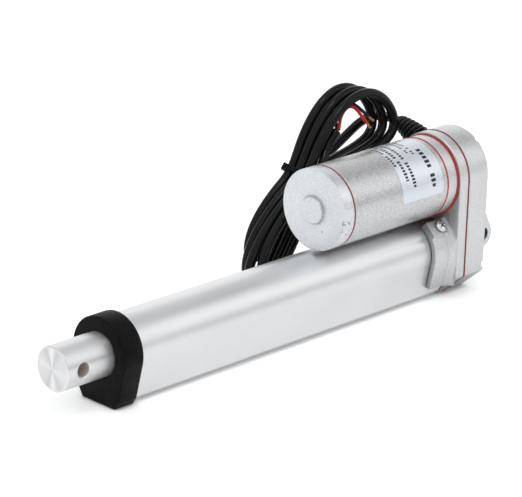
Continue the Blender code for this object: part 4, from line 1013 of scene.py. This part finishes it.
def cable_path():
    """From the boot into a coil of flat loops tied in the middle, one layer behind another."""
    shift_x, shift_z = STRAND_OFFSET * cos(BUNDLE_ANGLE), STRAND_OFFSET * sin(BUNDLE_ANGLE)
    deep = COIL_NEAR_Y - LAYER * TURNS
    back = deep - LAYER
    before, tip = boot_point(32.7), boot_point(34.2)
    ahead = [(b - a) / dist(before, tip) for a, b in zip(before, tip)]
    points = [tuple(t + a * reach for t, a in zip(tip, ahead)) for reach in mm(0.8, 6)]
    points += [(-244 * MM, deep - MM, 52.3 * MM), (-238 * MM, back - MM, 51 * MM),
               (-228 * MM, back - MM, 45.5 * MM), (-214 * MM, back - MM, 38 * MM),
               (-200 * MM, back, 33.5 * MM), (-190 * MM, back + LAYER / 2, 33.2 * MM)]
    y = deep
    for number in range(TURNS + 1):
        length = LOWER_LOOPS[number] * MM
        loops = [(-1, lobe(radians(-56), length, (length * 0.26, length * 0.05), (1, 1), False))]
        if number < TURNS:
            length, width = (value * MM for value in UPPER_LOOPS[number])
            loops.append((1, lobe(radians(164.5), length, (width, length * 0.12), (0.7, 3), True)))
        for sign, loop in loops:
            for x, z, share in loop:
                side = sign * cos(pi * share)
                points.append((TIE_X + x + side * shift_x, y + LAYER / 2 * share,
                               TIE_Z + z + side * shift_z))
            y += LAYER / 2
    points += [mm(*point) for point in CABLE_END]
    return spaced(smoothed(spaced(points, 2 * MM), 14), 1.6 * MM)


def make_cable():
    path = cable_path()
    show(swept("cable_detail", path, 2.25 * MM, 22), SHEATH, "power_cable", sharp=50)
    make_tie(path)
    end = CABLE_END[-1]
    looks = ((RED_WIRE, "wire_red"), (BLACK_WIRE, "cable_black"))
    for (node, steps), (material, slot) in zip(WIRES.items(), looks):
        line = [tuple((e + d) * MM for e, d in zip(end, step)) for step in steps]
        line = spaced(smoothed(spaced(line, MM), 8), 0.8 * MM)
        show(swept(node + "_detail", line, 0.8 * MM, 16), material, node, sharp=50)
        make_bare_tip(node, Vector(line[-2]), Vector(line[-1]))


def make_tie(path):
    """A strap pulled tight round the strands in the tie's plane, with its lock on the far side."""
    centre = Vector((TIE_X, 0, TIE_Z))
    axis = Vector((-sin(BUNDLE_ANGLE), 0, cos(BUNDLE_ANGLE)))
    across = Vector((cos(BUNDLE_ANGLE), 0, sin(BUNDLE_ANGLE)))
    depth = Vector((0, 1, 0))
    crossings = []
    for a, b in zip(path, path[1:]):
        near, far = ((Vector(p) - centre).dot(axis) for p in (a, b))
        if near * far <= 0:
            crossings.append(Vector(a).lerp(Vector(b), near / (near - far)))
    rings = []
    for radius, along in ((2.4, -1.2), (3.3, -1.2), (3.3, 1.2), (2.4, 1.2)):
        ring = []
        for k in range(96):
            angle = 2 * pi * k / 96
            way = depth * cos(angle) + across * sin(angle)
            furthest = max(crossings, key=lambda point: point.dot(way))
            ring.append(furthest + way * radius * MM + axis * along * MM)
        rings.append(ring)
    strap = joined_rings("cable_tie_detail", rings, closed_loop=True)
    way = depth * -0.8 + across * 0.6
    at = max(crossings, key=lambda point: point.dot(way)) + way * 3.6 * MM
    matrix = Matrix.Translation(at) @ Matrix((way, axis.cross(way), axis)).transposed().to_4x4()
    join(strap, block(mm(-1.5, -1.7, -1.6), mm(0.7, 1.7, 1.6), matrix))
    show(strap, BLACK, "cable_tie")


def make_bare_tip(node, before, tip):
    """A few twisted bare strands past the end of the insulation."""
    ahead = (tip - before).normalized()
    side = ahead.orthogonal().normalized()
    other = ahead.cross(side)
    for strand in range(5):
        line = []
        for k in range(9):
            angle = 2 * pi * strand / 5 + 0.35 * k
            spread = (0.26 + 0.035 * k) * MM
            away = (side * cos(angle) + other * sin(angle)) * spread
            line.append(tip + ahead * (k * 0.5 - 0.8) * MM + away)
        piece = swept(f"{node}_strand_{strand + 1}", line, 0.19 * MM, 8)
        show(piece, BARE_COPPER, sharp=60)


# ------------ stage, light and camera

def make_floor():
    shape = bmesh.new()
    bmesh.ops.create_grid(shape, x_segments=1, y_segments=1, size=3)
    floor = from_bmesh("floor", shape)
    floor.location.z = FLOOR_Z - 0.05 * MM
    f = Finish("pale_floor")
    tone = f.vary(f.noise(0.02, 2), 0.995, 1.0)
    seen = f.node("LightPath").outputs["Is Camera Ray"]
    # painted shadow: the floor's glow for the camera dims where the actuator comes close to it
    painted_contact_shadow = f.painted_shade(3.1 * MM, 0.0)
    f.done(f.toned(rgb(0.96, 0.96, 0.96), tone), 0.85, Emission_Color=rgb(1, 1, 1), Specular_IOR_Level=0.1,
           Emission_Strength=f.span(seen, 0, 1, 0.13, f.times(painted_contact_shadow, 0.36)))
    floor.data.materials.append(f.material)


# direction, cosine where the change starts and where it is full, change in strength
STUDIO_SPOTS = (
    ((-0.675, 0.542, 0.50), 0.86, 0.985, 0.42),
    ((-0.675, -0.06, 0.735), 0.80, 0.98, -0.36),
    ((-0.675, -0.70, 0.20), 0.6, 0.98, 0.30),
    ((-0.675, 0.735, 0.03), 0.93, 0.99, -0.34),
    ((0.2, 0.3, 0.93), 0.99, 0.999, 8.0),
)
STUDIO_STRENGTH = 0.74


def make_world():
    """An even white studio with brighter and darker areas, which metal shows as soft bands."""
    world = bpy.data.worlds.new("studio")
    bpy.context.scene.world = world
    world.use_nodes = True
    tree = world.node_tree
    direction = tree.nodes.new("ShaderNodeTexCoord").outputs["Generated"]
    background = tree.nodes["Background"]
    total = None
    for way, low, high, change in STUDIO_SPOTS:
        dot = tree.nodes.new("ShaderNodeVectorMath")
        dot.operation = "DOT_PRODUCT"
        dot.inputs[1].default_value = Vector(way).normalized()
        tree.links.new(direction, dot.inputs[0])
        spread = tree.nodes.new("ShaderNodeMapRange")
        spread.interpolation_type = "SMOOTHSTEP"
        for socket, value in zip(spread.inputs[1:5], (low, high, 0.0, change)):
            socket.default_value = value
        tree.links.new(dot.outputs["Value"], spread.inputs[0])
        add = tree.nodes.new("ShaderNodeMath")
        add.inputs[1].default_value = STUDIO_STRENGTH
        tree.links.new(spread.outputs[0], add.inputs[0])
        if total:
            tree.links.new(total, add.inputs[1])
        total = add.outputs[0]
    tree.links.new(total, background.inputs["Strength"])
    background.inputs["Color"].default_value = rgb(0.985, 0.992, 1.0)


def make_lights():
    centre = (CAD_BOX[0] + CAD_BOX[1]) / 2
    for name, offset, size, power in (("key", (0.5, 0.5, 1.1), 0.9, 0.9),
                                      ("top", (-0.3, -0.25, 1.2), 1.2, 0.7)):
        light = bpy.data.lights.new(name, "AREA")
        light.shape = "SQUARE"
        light.size = size
        light.energy = power
        item = placed(name, light)
        item.location = centre + Vector(offset)
        item.rotation_euler = (-Vector(offset)).to_track_quat("-Z", "Y").to_euler()


def make_camera():
    """A long lens that looks down the rod's near side."""
    azimuth, elevation, roll = (radians(v) for v in (134.115, 19.839, 1.660))
    distance = 1.221545
    level = cos(elevation)
    back = Vector((sin(azimuth) * level, -cos(azimuth) * level, sin(elevation)))
    right = Vector((0, 0, 1)).cross(back).normalized()
    up = back.cross(right)
    axes = (right * cos(roll) + up * sin(roll), up * cos(roll) - right * sin(roll), back)
    target = Vector((-121.82, 0, 24.277)) * MM
    camera = bpy.data.cameras.new("camera")
    camera.sensor_fit = "HORIZONTAL"
    camera.sensor_width = 36
    camera.lens = 191.445
    camera.clip_start, camera.clip_end = 0.05, 20
    item = placed("camera", camera)
    item.matrix_world = Matrix.Translation(target + back * distance) @ Matrix(axes).transposed().to_4x4()
    bpy.context.scene.camera = item


finish_cad_nodes()
make_rod()
make_tube()
make_front_cap()
make_front_housing()
make_gearbox_gasket()
make_rear_cover()
make_screws()
make_motor()
make_label()
make_boot()
make_cable()
make_floor()
make_world()
make_lights()
make_camera()
bpy.context.scene.view_settings.view_transform = "Standard"
